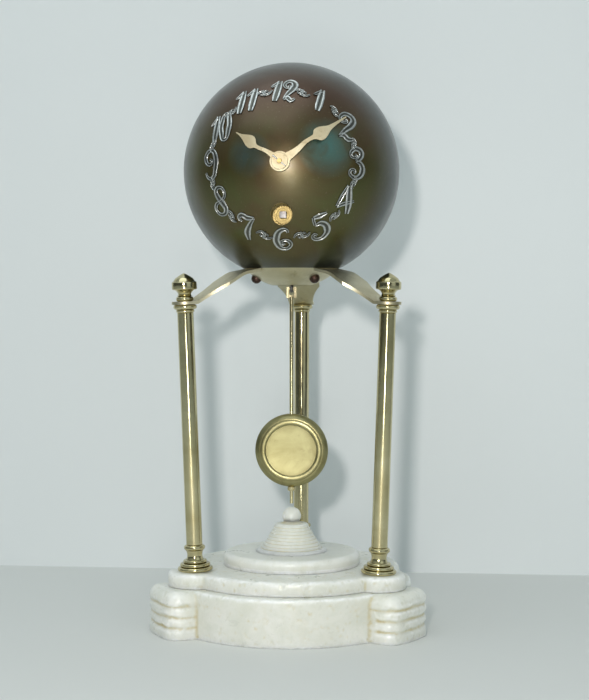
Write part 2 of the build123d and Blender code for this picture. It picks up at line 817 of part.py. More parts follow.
pallet_place = Vector(0, pallet_arbor_rise)
escape_place = pallet_place - Vector(0, pallet_arbor_drop)
intermediate_place = meeting_place(
    centre_place, centre_distance(intermediate_module, intermediate_teeth, centre_leaves),
    winding_place, centre_distance(barrel_module, barrel_teeth, intermediate_leaves), -1,
)
third_place = meeting_place(
    centre_place, centre_distance(centre_module, centre_teeth, third_leaves),
    escape_place, centre_distance(third_module, third_teeth, escape_leaves), -1,
)
minute_place = Vector(centre_distance(motion_module, minute_teeth, cannon_leaves), 0)
plate_front = ball_bore - plate_set_back
plate_back = plate_front - plate_thickness
rear_plate_front = plate_back - plate_spacing
rear_plate_back = rear_plate_front - plate_thickness
pivot_hole = arbor_radius + running_clearance
click_place = winding_place + Vector(click_reach, click_rise)
spring_foot_place = click_place + Vector(0, click_spring_rise)

with BuildPart() as front_plate:
    with BuildSketch(dial_plane(centre_place, plate_front)):
        Circle(plate_radius)
        with Locations(intermediate_place, third_place, escape_place):
            Circle(pivot_hole, mode=Mode.SUBTRACT)
        with Locations(pallet_place):
            Circle(pallet_arbor_radius + running_clearance, mode=Mode.SUBTRACT)
        Circle(centre_arbor_radius + running_clearance, mode=Mode.SUBTRACT)
        with Locations(winding_place):
            Circle(barrel_arbor_radius + running_clearance, mode=Mode.SUBTRACT)
        with Locations(minute_place):
            Circle(stud_radius, mode=Mode.SUBTRACT)
        with Locations(click_place):
            Circle(click_screw_radius, mode=Mode.SUBTRACT)
        with PolarLocations(pillar_circle, pillar_count, pillar_start_angle):
            Circle(pillar_pivot_radius, mode=Mode.SUBTRACT)
        with PolarLocations(post_circle, post_count, post_start_angle):
            Circle(movement_screw_radius + loose_clearance, mode=Mode.SUBTRACT)
    extrude(amount=-plate_thickness)
write(front_plate, "front_plate")

with BuildPart() as back_plate:
    with BuildSketch(dial_plane(centre_place, rear_plate_front)):
        Circle(plate_radius)
        with Locations(intermediate_place, third_place, escape_place, centre_place):
            Circle(pivot_hole, mode=Mode.SUBTRACT)
        with Locations(winding_place):
            Circle(barrel_arbor_radius + running_clearance, mode=Mode.SUBTRACT)
        with Locations(pallet_place):
            Circle(2 * pallet_arbor_radius, mode=Mode.SUBTRACT)
        with Locations(pallet_place + Vector(cock_half_span, 0), pallet_place - Vector(cock_half_span, 0)):
            Circle(cock_screw_radius, mode=Mode.SUBTRACT)
        with PolarLocations(pillar_circle, pillar_count, pillar_start_angle):
            Circle(pillar_pivot_radius, mode=Mode.SUBTRACT)
    extrude(amount=-plate_thickness)
write(back_plate, "back_plate")

with BuildPart() as plate_pillars:
    with BuildSketch(dial_plane(centre_place, plate_back)):
        with PolarLocations(pillar_circle, pillar_count, pillar_start_angle):
            Circle(pillar_radius)
    extrude(amount=-plate_spacing)
    with BuildSketch(dial_plane(centre_place, plate_front)):
        with PolarLocations(pillar_circle, pillar_count, pillar_start_angle):
            Circle(pillar_pivot_radius)
    extrude(amount=rear_plate_back - pillar_tail - plate_front)
    with BuildSketch(dial_plane(centre_place, rear_plate_back - pillar_pin_radius)):
        with PolarLocations(pillar_circle, pillar_count, pillar_start_angle):
            Rectangle(2 * pillar_pin_radius, 2 * pillar_radius)
    extrude(amount=-pillar_pin_radius, mode=Mode.SUBTRACT)
write(plate_pillars, "plate_pillars")

with BuildPart() as pillar_pins:
    with BuildSketch(dial_plane(centre_place, rear_plate_back - pillar_pin_radius)):
        with PolarLocations(pillar_circle, pillar_count, pillar_start_angle):
            Rectangle(2 * pillar_pin_radius, pillar_pin_length)
    extrude(amount=-pillar_pin_radius)
write(pillar_pins, "pillar_pins")

with BuildPart() as movement_posts:
    with BuildSketch(dial_plane(centre_place, plate_front)):
        with PolarLocations(post_circle, post_count, post_start_angle):
            Circle(post_radius)
            Circle(movement_screw_radius, mode=Mode.SUBTRACT)
    extrude(amount=plate_set_back)
    with Locations(dial_point):
        Sphere(ball_bore, mode=Mode.INTERSECT)
write(movement_posts, "movement_posts")

with BuildPart() as movement_screws:
    with BuildSketch(dial_plane(centre_place, plate_back)):
        with PolarLocations(post_circle, post_count, post_start_angle):
            Circle(movement_screw_head_radius)
    extrude(amount=-movement_screw_head_height)
    with BuildSketch(dial_plane(centre_place, plate_back)):
        with PolarLocations(post_circle, post_count, post_start_angle):
            Circle(movement_screw_radius)
    extrude(amount=movement_screw_length)
write(movement_screws, "movement_screws")


# Wheels
def bearing(start, end):
    """Angle of one place seen from another, clockwise from upright."""
    way = end - start
    return atan2(way.X, way.Y)


def gear_points(teeth, module, phase, shares):
    """Outline of a straight-flanked gear with one tooth at the phase angle."""
    addendum_share, dedendum_share, root_share, tip_share = shares
    pitch_radius = module * teeth / 2
    root = pitch_radius - dedendum_share * module
    tip = pitch_radius + addendum_share * module
    corners = ((root, -root_share), (tip, -tip_share), (tip, tip_share), (root, root_share))
    points = []
    for tooth in range(teeth):
        for radius, share in corners:
            angle = phase + (tooth + share / 2) * 2 * pi / teeth
            points.append((radius * sin(angle), radius * cos(angle)))
    return points


def saw_points(teeth, tip, depth):
    """Outline of a ratchet or escape wheel, its teeth leaning one way."""
    points = []
    for tooth in range(teeth):
        angle = tooth * 2 * pi / teeth
        back = angle + 2 * pi / teeth * saw_back_share
        points.append((tip * sin(angle), tip * cos(angle)))
        points.append(((tip - depth) * sin(back), (tip - depth) * cos(back)))
    return points


wheel_shares = (wheel_addendum_share, wheel_dedendum_share, wheel_root_share, wheel_tip_share)
leaf_shares = (leaf_addendum_share, leaf_dedendum_share, leaf_root_share, leaf_tip_share)


def cut_wheel(place, forward, thickness, points):
    """A toothed disc whose front face is at a level, added to the piece being built."""
    with BuildSketch(dial_plane(place, forward)) as outline:
        with BuildLine():
            Polyline(*points, close=True)
        make_face()
    extrude(outline.sketch, amount=-thickness)


def turn_arbor(place, steps):
    """Cylinders along one axis, each from a front level to a back level, added to the piece being built."""
    for front, back, radius in steps:
        with BuildSketch(dial_plane(place, front)) as section:
            Circle(radius)
        extrude(section.sketch, amount=back - front)


def drill(place, front, back, radius):
    """A hole along the dial's axis through the piece being built."""
    with BuildSketch(dial_plane(place, front + overrun)) as section:
        Circle(radius)
    extrude(section.sketch, amount=back - front - 2 * overrun, mode=Mode.SUBTRACT)


def leaf_phase(leaves, wheel_place, pinion_place):
    """Phase that turns a gap of the pinion to a tooth of its wheel."""
    return bearing(wheel_place, pinion_place) + pi + pi / leaves


pinion_spare = (pinion_length - wheel_thickness) / 2
centre_front = plate_back - centre_level
barrel_front = plate_back - barrel_level
third_front = plate_back - third_level
escape_front = plate_back - escape_level
intermediate_front = plate_back - intermediate_level
great_wheel_front = barrel_front - barrel_length + wheel_thickness
washer_front = ball_radius + minute_hand_lift + hand_sheet + turning_gap + washer_disc_height
centre_arbor_front = washer_front + 3 * taper_pin_radius

pin_way = Vector(cos(radians(taper_pin_turn)), 0, sin(radians(taper_pin_turn)))
pin_middle = Vector(0, -washer_front - taper_pin_radius, dial_height)
pin_plane = Plane(pin_middle - pin_way * taper_pin_length / 2, x_dir=(0, -1, 0), z_dir=pin_way)

with BuildPart() as hand_pin:
    with BuildSketch(pin_plane):
        Circle(taper_pin_radius)
    extrude(amount=taper_pin_length, taper=taper_pin_taper)
write(hand_pin, "hand_pin")

with BuildPart() as centre_wheel:
    phase = bearing(centre_place, third_place)
    cut_wheel(centre_place, centre_front, wheel_thickness,
              gear_points(centre_teeth, centre_module, phase, wheel_shares))
    phase = leaf_phase(centre_leaves, intermediate_place, centre_place)
    cut_wheel(centre_place, intermediate_front + pinion_spare, pinion_length,
              gear_points(centre_leaves, intermediate_module, phase, leaf_shares))
    turn_arbor(centre_place, [
        (centre_arbor_front, rear_plate_front + pivot_shoulder, centre_arbor_radius),
        (rear_plate_front + pivot_shoulder, rear_plate_back, arbor_radius),
    ])
    add(hand_pin.part, mode=Mode.SUBTRACT)
write(centre_wheel, "centre_wheel")

with BuildPart() as hand_washer:
    with BuildSketch(dial_plane(centre_place, washer_front)):
        Circle(washer_disc_radius)
        Circle(centre_arbor_radius, mode=Mode.SUBTRACT)
    extrude(amount=-washer_disc_height)
write(hand_washer, "hand_washer")

with BuildPart() as third_wheel:
    phase = bearing(third_place, escape_place)
    cut_wheel(third_place, third_front, wheel_thickness,
              gear_points(third_teeth, third_module, phase, wheel_shares))
    phase = leaf_phase(third_leaves, centre_place, third_place)
    cut_wheel(third_place, centre_front + pivot_shoulder / 2, pinion_length,
              gear_points(third_leaves, centre_module, phase, leaf_shares))
    turn_arbor(third_place, [(plate_front, rear_plate_back, arbor_radius)])
write(third_wheel, "third_wheel")

with BuildPart() as escape_wheel:
    cut_wheel(escape_place, escape_front, wheel_thickness,
              saw_points(escape_teeth, escape_radius, escape_depth))
    phase = leaf_phase(escape_leaves, third_place, escape_place)
    cut_wheel(escape_place, third_front + pinion_spare, pinion_length,
              gear_points(escape_leaves, third_module, phase, leaf_shares))
    turn_arbor(escape_place, [(plate_front, rear_plate_back, arbor_radius)])
write(escape_wheel, "escape_wheel")

with BuildPart() as intermediate_wheel:
    phase = bearing(intermediate_place, centre_place)
    cut_wheel(intermediate_place, intermediate_front, wheel_thickness,
              gear_points(intermediate_teeth, intermediate_module, phase, wheel_shares))
    phase = leaf_phase(intermediate_leaves, winding_place, intermediate_place)
    cut_wheel(intermediate_place, great_wheel_front + pinion_spare, pinion_length,
              gear_points(intermediate_leaves, barrel_module, phase, leaf_shares))
    turn_arbor(intermediate_place, [(plate_front, rear_plate_back, arbor_radius)])
write(intermediate_wheel, "intermediate_wheel")

# Barrel and winding
barrel_back = barrel_front - barrel_length
barrel_bore = barrel_arbor_radius + running_clearance
with BuildPart() as barrel:
    turn_arbor(winding_place, [(barrel_front, barrel_back, barrel_drum_radius)])
    phase = bearing(winding_place, intermediate_place)
    cut_wheel(winding_place, great_wheel_front, wheel_thickness,
              gear_points(barrel_teeth, barrel_module, phase, wheel_shares))
    with BuildSketch(dial_plane(winding_place, barrel_front)):
        Circle(barrel_drum_radius - barrel_wall)
    extrude(amount=barrel_wall - barrel_length, mode=Mode.SUBTRACT)
    drill(winding_place, barrel_front, barrel_back, barrel_bore)
write(barrel, "barrel")

with BuildPart() as barrel_cover:
    with BuildSketch(dial_plane(winding_place, barrel_front)):
        Circle(barrel_drum_radius - barrel_wall)
        Circle(barrel_bore, mode=Mode.SUBTRACT)
    extrude(amount=-cover_thickness)
write(barrel_cover, "barrel_cover")

spring_outer = barrel_drum_radius - barrel_wall
spring_front = barrel_front - cover_thickness - turning_gap
spring_width = barrel_length - barrel_wall - cover_thickness - 2 * turning_gap
with BuildPart() as mainspring:
    with BuildSketch(dial_plane(winding_place, spring_front)) as spring_section:
        with BuildLine():
            for half in range(2 * spring_turns):
                side = 1 - 2 * (half % 2)
                middle = (side * spring_pitch / 4, 0)
                radius = spring_outer - (2 * half + 1) * spring_pitch / 4
                CenterArc(middle, radius, 90 - 90 * side, 180)
                CenterArc(middle, radius - spring_thickness, 90 - 90 * side, 180)
            spring_inner = spring_outer - spring_turns * spring_pitch
            Line((spring_outer, 0), (spring_outer - spring_thickness, 0))
            Line((spring_inner, 0), (spring_inner - spring_thickness, 0))
        make_face()
    extrude(amount=-spring_width)
write(mainspring, "mainspring")

ratchet_back = plate_front + turning_gap
ratchet_front = ratchet_back + ratchet_thickness
with BuildPart() as barrel_arbor:
    turn_arbor(winding_place, [
        (ratchet_front, rear_plate_back, barrel_arbor_radius),
        (spring_front, spring_front - spring_width, barrel_hub_radius),
    ])
    with BuildSketch(dial_plane(winding_place, ratchet_back)):
        Rectangle(square_side, square_side)
    extrude(amount=ratchet_thickness + square_length)
    with BuildSketch(dial_plane(winding_place, ratchet_front)):
        Circle(square_side + overrun)
        Rectangle(square_side, square_side, mode=Mode.SUBTRACT)
    extrude(amount=-ratchet_thickness, mode=Mode.SUBTRACT)
write(barrel_arbor, "barrel_arbor")

with BuildPart() as ratchet_wheel:
    cut_wheel(winding_place, ratchet_front, ratchet_thickness,
              saw_points(ratchet_teeth, ratchet_radius, ratchet_depth))
    with BuildSketch(dial_plane(winding_place, ratchet_front)):
        Rectangle(square_side, square_side)
    extrude(amount=-ratchet_thickness, mode=Mode.SUBTRACT)
write(ratchet_wheel, "ratchet_wheel")

click_front = ratchet_back + click_thickness
beak_radius_out = ratchet_radius + turning_gap + click_beak_radius
beak_place = winding_place + Vector(
    beak_radius_out * sin(radians(click_beak_angle)), beak_radius_out * cos(radians(click_beak_angle))
)
with BuildPart() as click:
    with BuildSketch(dial_plane(centre_place, click_front)):
        with Locations(click_place):
            Circle(click_hub_radius)
        with Locations(beak_place):
            Circle(click_beak_radius)
        make_hull()
        with Locations(click_place):
            Circle(click_screw_radius + running_clearance, mode=Mode.SUBTRACT)
        with Locations(winding_place):
            Circle(ratchet_radius + turning_gap, mode=Mode.SUBTRACT)
    extrude(amount=-click_thickness)
write(click, "click")

with BuildPart() as click_screw:
    click_head_back = click_front + turning_gap
    turn_arbor(click_place, [
        (click_head_back + click_screw_head_height, click_head_back, click_screw_head_radius),
        (click_head_back, plate_back, click_screw_radius),
    ])
write(click_screw, "click_screw")

with BuildPart() as click_spring:
    with BuildSketch(dial_plane(centre_place, plate_front + click_spring_width)):
        with Locations(spring_foot_place):
            Circle(click_spring_foot_radius)
        with Locations(click_place + Vector(0, click_hub_radius + click_spring_gap)):
            Rectangle(click_spring_thickness, click_spring_rise - click_hub_radius - click_spring_gap,
                      align=(Align.CENTER, Align.MIN))
    extrude(amount=-click_spring_width)
write(click_spring, "click_spring")

# Motion work and hands
cannon_back = plate_front + turning_gap
cannon_leaf_front = cannon_back + wheel_thickness + turning_gap
minute_wheel_back = cannon_back + turning_gap / 2
minute_wheel_front = minute_wheel_back + wheel_thickness
hour_wheel_back = cannon_leaf_front + turning_gap
hour_wheel_front = hour_wheel_back + wheel_thickness
hour_hand_back = ball_radius + hour_hand_lift
minute_hand_back = ball_radius + minute_hand_lift
minute_bearing = bearing(minute_place, centre_place)

with BuildPart() as cannon_pinion:
    phase = leaf_phase(cannon_leaves, minute_place, centre_place)
    cut_wheel(centre_place, cannon_leaf_front, cannon_leaf_front - cannon_back,
              gear_points(cannon_leaves, motion_module, phase, leaf_shares))
    turn_arbor(centre_place, [(minute_hand_back + hand_sheet, cannon_back, cannon_pipe_radius)])
    drill(centre_place, minute_hand_back + hand_sheet, cannon_back, centre_arbor_radius + running_clearance)
write(cannon_pinion, "cannon_pinion")

with BuildPart() as minute_wheel:
    cut_wheel(minute_place, minute_wheel_front, wheel_thickness,
              gear_points(minute_teeth, motion_module, minute_bearing, wheel_shares))
    phase = leaf_phase(minute_leaves, centre_place, minute_place)
    minute_leaf_front = hour_wheel_front + turning_gap
    cut_wheel(minute_place, minute_leaf_front, minute_leaf_front - minute_wheel_front,
              gear_points(minute_leaves, motion_module, phase, leaf_shares))
    drill(minute_place, hour_wheel_front, minute_wheel_back, stud_radius + running_clearance)
write(minute_wheel, "minute_wheel")

with BuildPart() as minute_wheel_stud:
    turn_arbor(minute_place, [
        (minute_wheel_back - turning_gap / 4, plate_front, stud_collar_radius),
        (hour_wheel_front + 2 * turning_gap, plate_back, stud_radius),
    ])
write(minute_wheel_stud, "minute_wheel_stud")

with BuildPart() as hour_wheel:
    phase = bearing(centre_place, minute_place)
    cut_wheel(centre_place, hour_wheel_front, wheel_thickness,
              gear_points(hour_teeth, motion_module, phase, wheel_shares))
    turn_arbor(centre_place, [(hour_hand_back + hand_sheet, hour_wheel_back, hour_pipe_radius)])
    drill(centre_place, hour_hand_back + hand_sheet, hour_wheel_back, cannon_pipe_radius + running_clearance)
write(hour_wheel, "hour_wheel")


def hand_plane(turn):
    """Dial plane through the globe's centre with Y along a hand, clockwise from twelve."""
    return Plane(dial_point, x_dir=(cos(radians(turn)), 0, -sin(radians(turn))), z_dir=(0, -1, 0))


def hand_edge(shares, length, side):
    """Points of a hand's right or left edge, by +1 or -1, from its middle out to its tip."""
    return [((bend + side * half) * length, along * length) for along, bend, half in shares]


minute_turn = shown_minutes * 360 / 60
hour_turn = (shown_hours + shown_minutes / 60) * 360 / 12

with BuildPart() as minute_hand:
    with BuildSketch(hand_plane(minute_turn)):
        with BuildLine():
            right = Spline(*hand_edge(minute_hand_shares, minute_hand_length, 1))
            left = Spline(*hand_edge(minute_hand_shares, minute_hand_length, -1))
            Line(right @ 0, left @ 0)
            Line(right @ 1, left @ 1)
        make_face()
        Circle(hub_radius)
        Circle(cannon_pipe_radius, mode=Mode.SUBTRACT)
    extrude(amount=ball_radius + minute_hand_lift + overrun)
    with Locations(dial_point):
        Sphere(minute_hand_back + hand_sheet, mode=Mode.INTERSECT)
        Sphere(minute_hand_back, mode=Mode.SUBTRACT)
write(minute_hand, "minute_hand")

with BuildPart() as hour_hand:
    with BuildSketch(hand_plane(hour_turn)):
        with BuildLine():
            right = Spline(*hand_edge(hour_hand_shares, hour_hand_length, 1))
            left = Spline(*hand_edge(hour_hand_shares, hour_hand_length, -1))
            Line(right @ 0, left @ 0)
            Line(right @ 1, left @ 1)
        make_face()
        Circle(hub_radius)
        Circle(hour_pipe_radius, mode=Mode.SUBTRACT)
    extrude(amount=ball_radius + hour_hand_lift + overrun)
    with Locations(dial_point):
        Sphere(hour_hand_back + hand_sheet, mode=Mode.INTERSECT)
        Sphere(hour_hand_back, mode=Mode.SUBTRACT)
write(hour_hand, "hour_hand")

# Pallets and pendulum
pallet_height = dial_height + pallet_arbor_rise
pallet_front = escape_front + (pallet_thickness - wheel_thickness) / 2
cock_front = rear_plate_back - cock_rise
cock_back = cock_front - cock_thickness
leader_front = -leader_back + leader_collar_length / 2
with BuildPart() as pallet_anchor:
    with BuildSketch(dial_plane(pallet_place, pallet_front)):
        with BuildLine():
            Polyline(
                (0, anchor_top),
                (anchor_top, anchor_top),
                (anchor_half_span, anchor_top - anchor_claw_drop),
                (anchor_half_span, -anchor_claw_drop),
                (0, -anchor_claw_drop),
            )
            mirror(about=Plane.YZ)
        make_face()
        with Locations((0, -pallet_arbor_drop)):
            Circle(escape_radius + pallet_gap, mode=Mode.SUBTRACT)
    extrude(amount=-pallet_thickness)
    turn_arbor(pallet_place, [(plate_front, -leader_back - leader_collar_length / 2, pallet_arbor_radius)])
write(pallet_anchor, "pallet_anchor")

with BuildPart() as pallet_cock:
    with BuildSketch(dial_plane(pallet_place, rear_plate_back)):
        with Locations((cock_half_span, 0), (-cock_half_span, 0)):
            Rectangle(cock_width, cock_width)
    extrude(amount=-cock_rise)
    with BuildSketch(dial_plane(pallet_place, cock_front)):
        Rectangle(2 * cock_half_span + cock_width, cock_width)
        Circle(pallet_arbor_radius + running_clearance, mode=Mode.SUBTRACT)
    extrude(amount=-cock_thickness)
    with BuildSketch(dial_plane(pallet_place, rear_plate_back)):
        with Locations((cock_half_span, 0), (-cock_half_span, 0)):
            Circle(cock_screw_radius)
    extrude(amount=cock_back - rear_plate_back - overrun, mode=Mode.SUBTRACT)
write(pallet_cock, "pallet_cock")

with BuildPart() as cock_screws:
    with BuildSketch(dial_plane(pallet_place, rear_plate_front)):
        with Locations((cock_half_span, 0), (-cock_half_span, 0)):
            Circle(cock_screw_radius)
    extrude(amount=cock_back - rear_plate_front)
    with BuildSketch(dial_plane(pallet_place, cock_back)):
        with Locations((cock_half_span, 0), (-cock_half_span, 0)):
            Circle(cock_screw_head_radius)
    extrude(amount=-cock_screw_head_height)
write(cock_screws, "cock_screws")

hook_height = dish_bottom - hook_drop
hook_forward = eye_thickness / 2 + leader_radius + turning_gap
with BuildPart() as pendulum_leader:
    with BuildLine():
        FilletPolyline(
            (0, leader_back, pallet_height),
            (0, leader_back, hook_height),
            (0, -hook_forward, hook_height),
            (0, -hook_forward, hook_height + hook_tip),
            radius=hook_bend,
        )
    with BuildSketch(Plane((0, leader_back, pallet_height))):
        Circle(leader_radius)
    sweep()
    turn_arbor(pallet_place, [(leader_front, leader_front - leader_collar_length, leader_collar_radius)])
    drill(pallet_place, leader_front, leader_front - leader_collar_length, pallet_arbor_radius)
write(pendulum_leader, "pendulum_leader")

rod_tip = knob_top + tip_gap
bob_height = rod_tip + bob_above_tip
bob_foot = bob_height - bob_radius
eye_middle = hook_height + leader_radius - eye_bore_radius
with BuildPart() as pendulum_rod:
    with BuildSketch(Plane((0, -eye_thickness / 2, eye_middle), x_dir=(1, 0, 0), z_dir=(0, -1, 0))):
        Rectangle(eye_width, eye_height)
        Circle(eye_bore_radius, mode=Mode.SUBTRACT)
    extrude(amount=-eye_thickness)
    with BuildSketch(Plane.XY.offset(eye_middle - eye_height / 2 + pendulum_rod_radius / 2)):
        Circle(pendulum_rod_radius)
    extrude(amount=bob_foot - eye_middle + eye_height / 2 - pendulum_rod_radius / 2)
    with BuildSketch(Plane.XY.offset(bob_foot)):
        Circle(rod_thread_radius)
    extrude(amount=rod_tip - bob_foot)
write(pendulum_rod, "pendulum_rod")

with BuildPart() as pendulum_bob:
    with BuildSketch(Plane((0, 0, bob_height))):
        with BuildLine():
            half_edge = bob_edge / 2
            half_thickness = bob_thickness / 2
            Polyline((0, half_thickness), (bob_ridge_radius, half_thickness))
            ThreePointArc(
                (bob_ridge_radius, half_thickness),
                ((bob_ridge_radius + bob_radius) / 2, (half_edge + half_thickness + bob_ridge_height) / 2),
                (bob_radius, half_edge),
            )
            Polyline((bob_radius, half_edge), (bob_radius, -half_edge))
            Polyline(
                (bob_radius, -half_edge),
                (bob_ridge_radius + bob_ridge_width, bob_ridge_height - half_thickness),
                (bob_ridge_radius, -half_thickness),
                (bob_ridge_radius - bob_ridge_width, bob_ridge_height - half_thickness),
                (0, bob_ridge_height - half_thickness),
                (0, half_thickness),
            )
        make_face()
    revolve(axis=Axis((0, 0, bob_height), (0, 1, 0)))
    with BuildSketch(Plane.XY.offset(bob_foot - overrun)):
        Circle(pendulum_rod_radius)
    extrude(amount=2 * bob_radius + 2 * overrun, mode=Mode.SUBTRACT)
write(pendulum_bob, "pendulum_bob")

with BuildPart() as rating_nut:
    with BuildSketch(Plane.XY.offset(bob_foot)):
        Circle(rating_nut_radius)
        Circle(rod_thread_radius, mode=Mode.SUBTRACT)
    extrude(amount=-rating_nut_height)
write(rating_nut, "rating_nut")
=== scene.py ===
import json
from contextlib import contextmanager
from math import asin, cos, pi, radians, sin, sqrt
import bmesh
import bpy
import numpy as np
from mathutils import Matrix, Vector, noise


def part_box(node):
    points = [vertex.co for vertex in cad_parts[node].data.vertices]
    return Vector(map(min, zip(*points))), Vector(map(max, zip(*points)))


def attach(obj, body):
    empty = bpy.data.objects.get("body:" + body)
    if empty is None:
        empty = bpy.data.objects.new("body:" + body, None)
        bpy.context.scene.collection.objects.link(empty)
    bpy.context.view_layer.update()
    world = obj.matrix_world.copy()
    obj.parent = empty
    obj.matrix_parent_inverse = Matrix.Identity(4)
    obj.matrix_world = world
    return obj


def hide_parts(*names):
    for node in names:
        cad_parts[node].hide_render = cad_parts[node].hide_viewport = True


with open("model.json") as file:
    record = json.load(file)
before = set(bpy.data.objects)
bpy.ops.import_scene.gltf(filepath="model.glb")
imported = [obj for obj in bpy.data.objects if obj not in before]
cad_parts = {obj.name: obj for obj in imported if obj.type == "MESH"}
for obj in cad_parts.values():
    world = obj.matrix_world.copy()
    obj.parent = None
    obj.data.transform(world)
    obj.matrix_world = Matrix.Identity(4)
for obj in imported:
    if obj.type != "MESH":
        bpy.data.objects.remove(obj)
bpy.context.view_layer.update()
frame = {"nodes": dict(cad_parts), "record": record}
nodes = frame["nodes"]
record = frame["record"]
bodyOfNode = {n: body for body, members in record["behaviour"]["bodies"].items() for n in members}
slotOfNode = {p["node"]: p["material_slot"] for p in record["subparts"]}
print("frame loaded:", len(nodes), "nodes")

scene = bpy.context.scene
mm = 0.001
axisZ = Vector((0, 0, 1))
stand = Matrix.Identity(4)  # lathe axis upright in the middle


# shader helpers

def newMaterial(name):
    mat = bpy.data.materials.new(name)
    mat.use_nodes = True
    return mat, mat.node_tree, mat.node_tree.nodes["Principled BSDF"]


def isSocket(value):
    return isinstance(value, bpy.types.NodeSocket)


def feed(tree, node, inputs):  # sockets are linked, plain values are set
    for key, value in inputs.items():
        if isSocket(value):
            tree.links.new(value, node.inputs[key])
        else:
            node.inputs[key].default_value = value
    return node


def addNode(tree, kind, inputs=None, **settings):
    made = tree.nodes.new(kind)
    for key, value in settings.items():
        setattr(made, key, value)
    return feed(tree, made, inputs or {})


def maths(tree, operation, *values):
    return addNode(tree, "ShaderNodeMath", dict(enumerate(values)), operation=operation).outputs[0]


def vectors(tree, operation, *values, **named):
    inputs = {**dict(enumerate(values)), **named}
    made = addNode(tree, "ShaderNodeVectorMath", inputs, operation=operation)
    return made.outputs["Value" if operation in ("LENGTH", "DISTANCE") else "Vector"]


def mixColour(tree, factor, first, second):
    ends = [c if isSocket(c) else (*c, 1) for c in (first, second)]
    made = addNode(tree, "ShaderNodeMix", {0: factor, 6: ends[0], 7: ends[1]}, data_type="RGBA")
    return made.outputs[2]


def remap(tree, value, low, high, toLow=0.0, toHigh=1.0):
    made = addNode(tree, "ShaderNodeMapRange", {"Value": value, "From Min": low, "From Max": high,
                                                "To Min": toLow, "To Max": toHigh})
    return made.outputs["Result"]


def cloud(tree, where, scale, detail, rough=0.55, warp=0.0):
    made = addNode(tree, "ShaderNodeTexNoise", {"Vector": where, "Scale": scale, "Detail": detail,
                                                "Roughness": rough, "Distortion": warp})
    return made.outputs["Fac"]


def objectSpot(tree, centre=(0, 0, 0), stretch=(1, 1, 1)):
    spot = addNode(tree, "ShaderNodeTexCoord").outputs["Object"]
    moved = vectors(tree, "ADD", spot, tuple(-c for c in centre))
    return addNode(tree, "ShaderNodeMapping", {"Vector": moved, "Scale": stretch}).outputs["Vector"]


def spotAlong(tree, spot, axis):
    return addNode(tree, "ShaderNodeSeparateXYZ", {0: spot}).outputs[axis]


def addBump(tree, shader, height, strength, deep):
    made = addNode(tree, "ShaderNodeBump", {"Height": height, "Strength": strength,
                                            "Distance": deep * mm})
    feed(tree, shader, {"Normal": made.outputs["Normal"]})


def pointedness(tree, low, high):
    edge = addNode(tree, "ShaderNodeNewGeometry").outputs["Pointiness"]
    return remap(tree, edge, low, high)


# metals and stone

# the tarnish colour also paints the shade in the hollows
brassLook = dict(bright=(0.68, 0.61, 0.38), deep=(0.50, 0.43, 0.23), tarnish=(0.16, 0.13, 0.06),
                 smooth=0.07, dull=0.20, blotch=38.0, scratch=900.0, relief=0.04, stretch=(1, 1, 0.04))
sheetLook = dict(bright=(0.66, 0.61, 0.44), deep=(0.52, 0.46, 0.29), tarnish=(0.20, 0.16, 0.08),
                 smooth=0.34, dull=0.52, blotch=46.0, scratch=1200.0, relief=0.08, stretch=(1, 1, 1))
bobLook = dict(bright=(0.42, 0.385, 0.20), deep=(0.27, 0.24, 0.11), tarnish=(0.17, 0.14, 0.06),
               smooth=0.28, dull=0.50, blotch=60.0, scratch=1400.0, relief=0.10, stretch=(1, 0.05, 1))
giltLook = dict(bright=(0.76, 0.67, 0.47), deep=(0.62, 0.51, 0.32), tarnish=(0.36, 0.26, 0.13),
                smooth=0.54, dull=0.70, blotch=90.0, scratch=1600.0, relief=0.14, stretch=(1, 1, 1))
movementLook = dict(bright=(0.62, 0.48, 0.21), deep=(0.46, 0.34, 0.13), tarnish=(0.24, 0.17, 0.06),
                    smooth=0.46, dull=0.62, blotch=120.0, scratch=2200.0, relief=0.10,
                    stretch=(1, 0.05, 1))
toolRings = dict(scale=230.0, waver=0.4, strength=0.55, depth=0.16)


def wornMetal(name, look, turnedAt=None):
    mat, tree, shader = newMaterial(name)
    spot = objectSpot(tree)
    blotch = cloud(tree, spot, look["blotch"], detail=6.0, rough=0.6, warp=0.6)
    body = mixColour(tree, remap(tree, blotch, 0.35, 0.68), look["bright"], look["deep"])
    film = cloud(tree, spot, look["blotch"] * 3.1, detail=8.0, rough=0.68, warp=0.3)
    hollowShade = maths(tree, "MULTIPLY", pointedness(tree, 0.50, 0.44), film)  # painted shade in the hollows, in the tarnish colour
    # real tarnish patches together with the painted shade in the hollows
    dark = maths(tree, "MAXIMUM", hollowShade, remap(tree, film, 0.60, 0.78, 0.0, 0.55))
    lines = cloud(tree, objectSpot(tree, stretch=look["stretch"]), look["scratch"], detail=3.0, rough=0.7)
    haze = maths(tree, "MULTIPLY", film, lines)
    feed(tree, shader, {"Base Color": mixColour(tree, dark, body, look["tarnish"]), "Metallic": 1.0,
                        "Roughness": remap(tree, haze, 0.12, 0.42, look["smooth"], look["dull"])})
    if turnedAt:  # rings left by the lathe
        rings = addNode(tree, "ShaderNodeTexWave",
                        {"Vector": objectSpot(tree, turnedAt), "Scale": toolRings["scale"],
                         "Distortion": toolRings["waver"], "Detail": 1.0},
                        wave_type="RINGS", rings_direction="Y")
        addBump(tree, shader, rings.outputs["Fac"], toolRings["strength"], toolRings["depth"])
    else:
        addBump(tree, shader, lines, look["relief"], deep=0.06)
    return mat


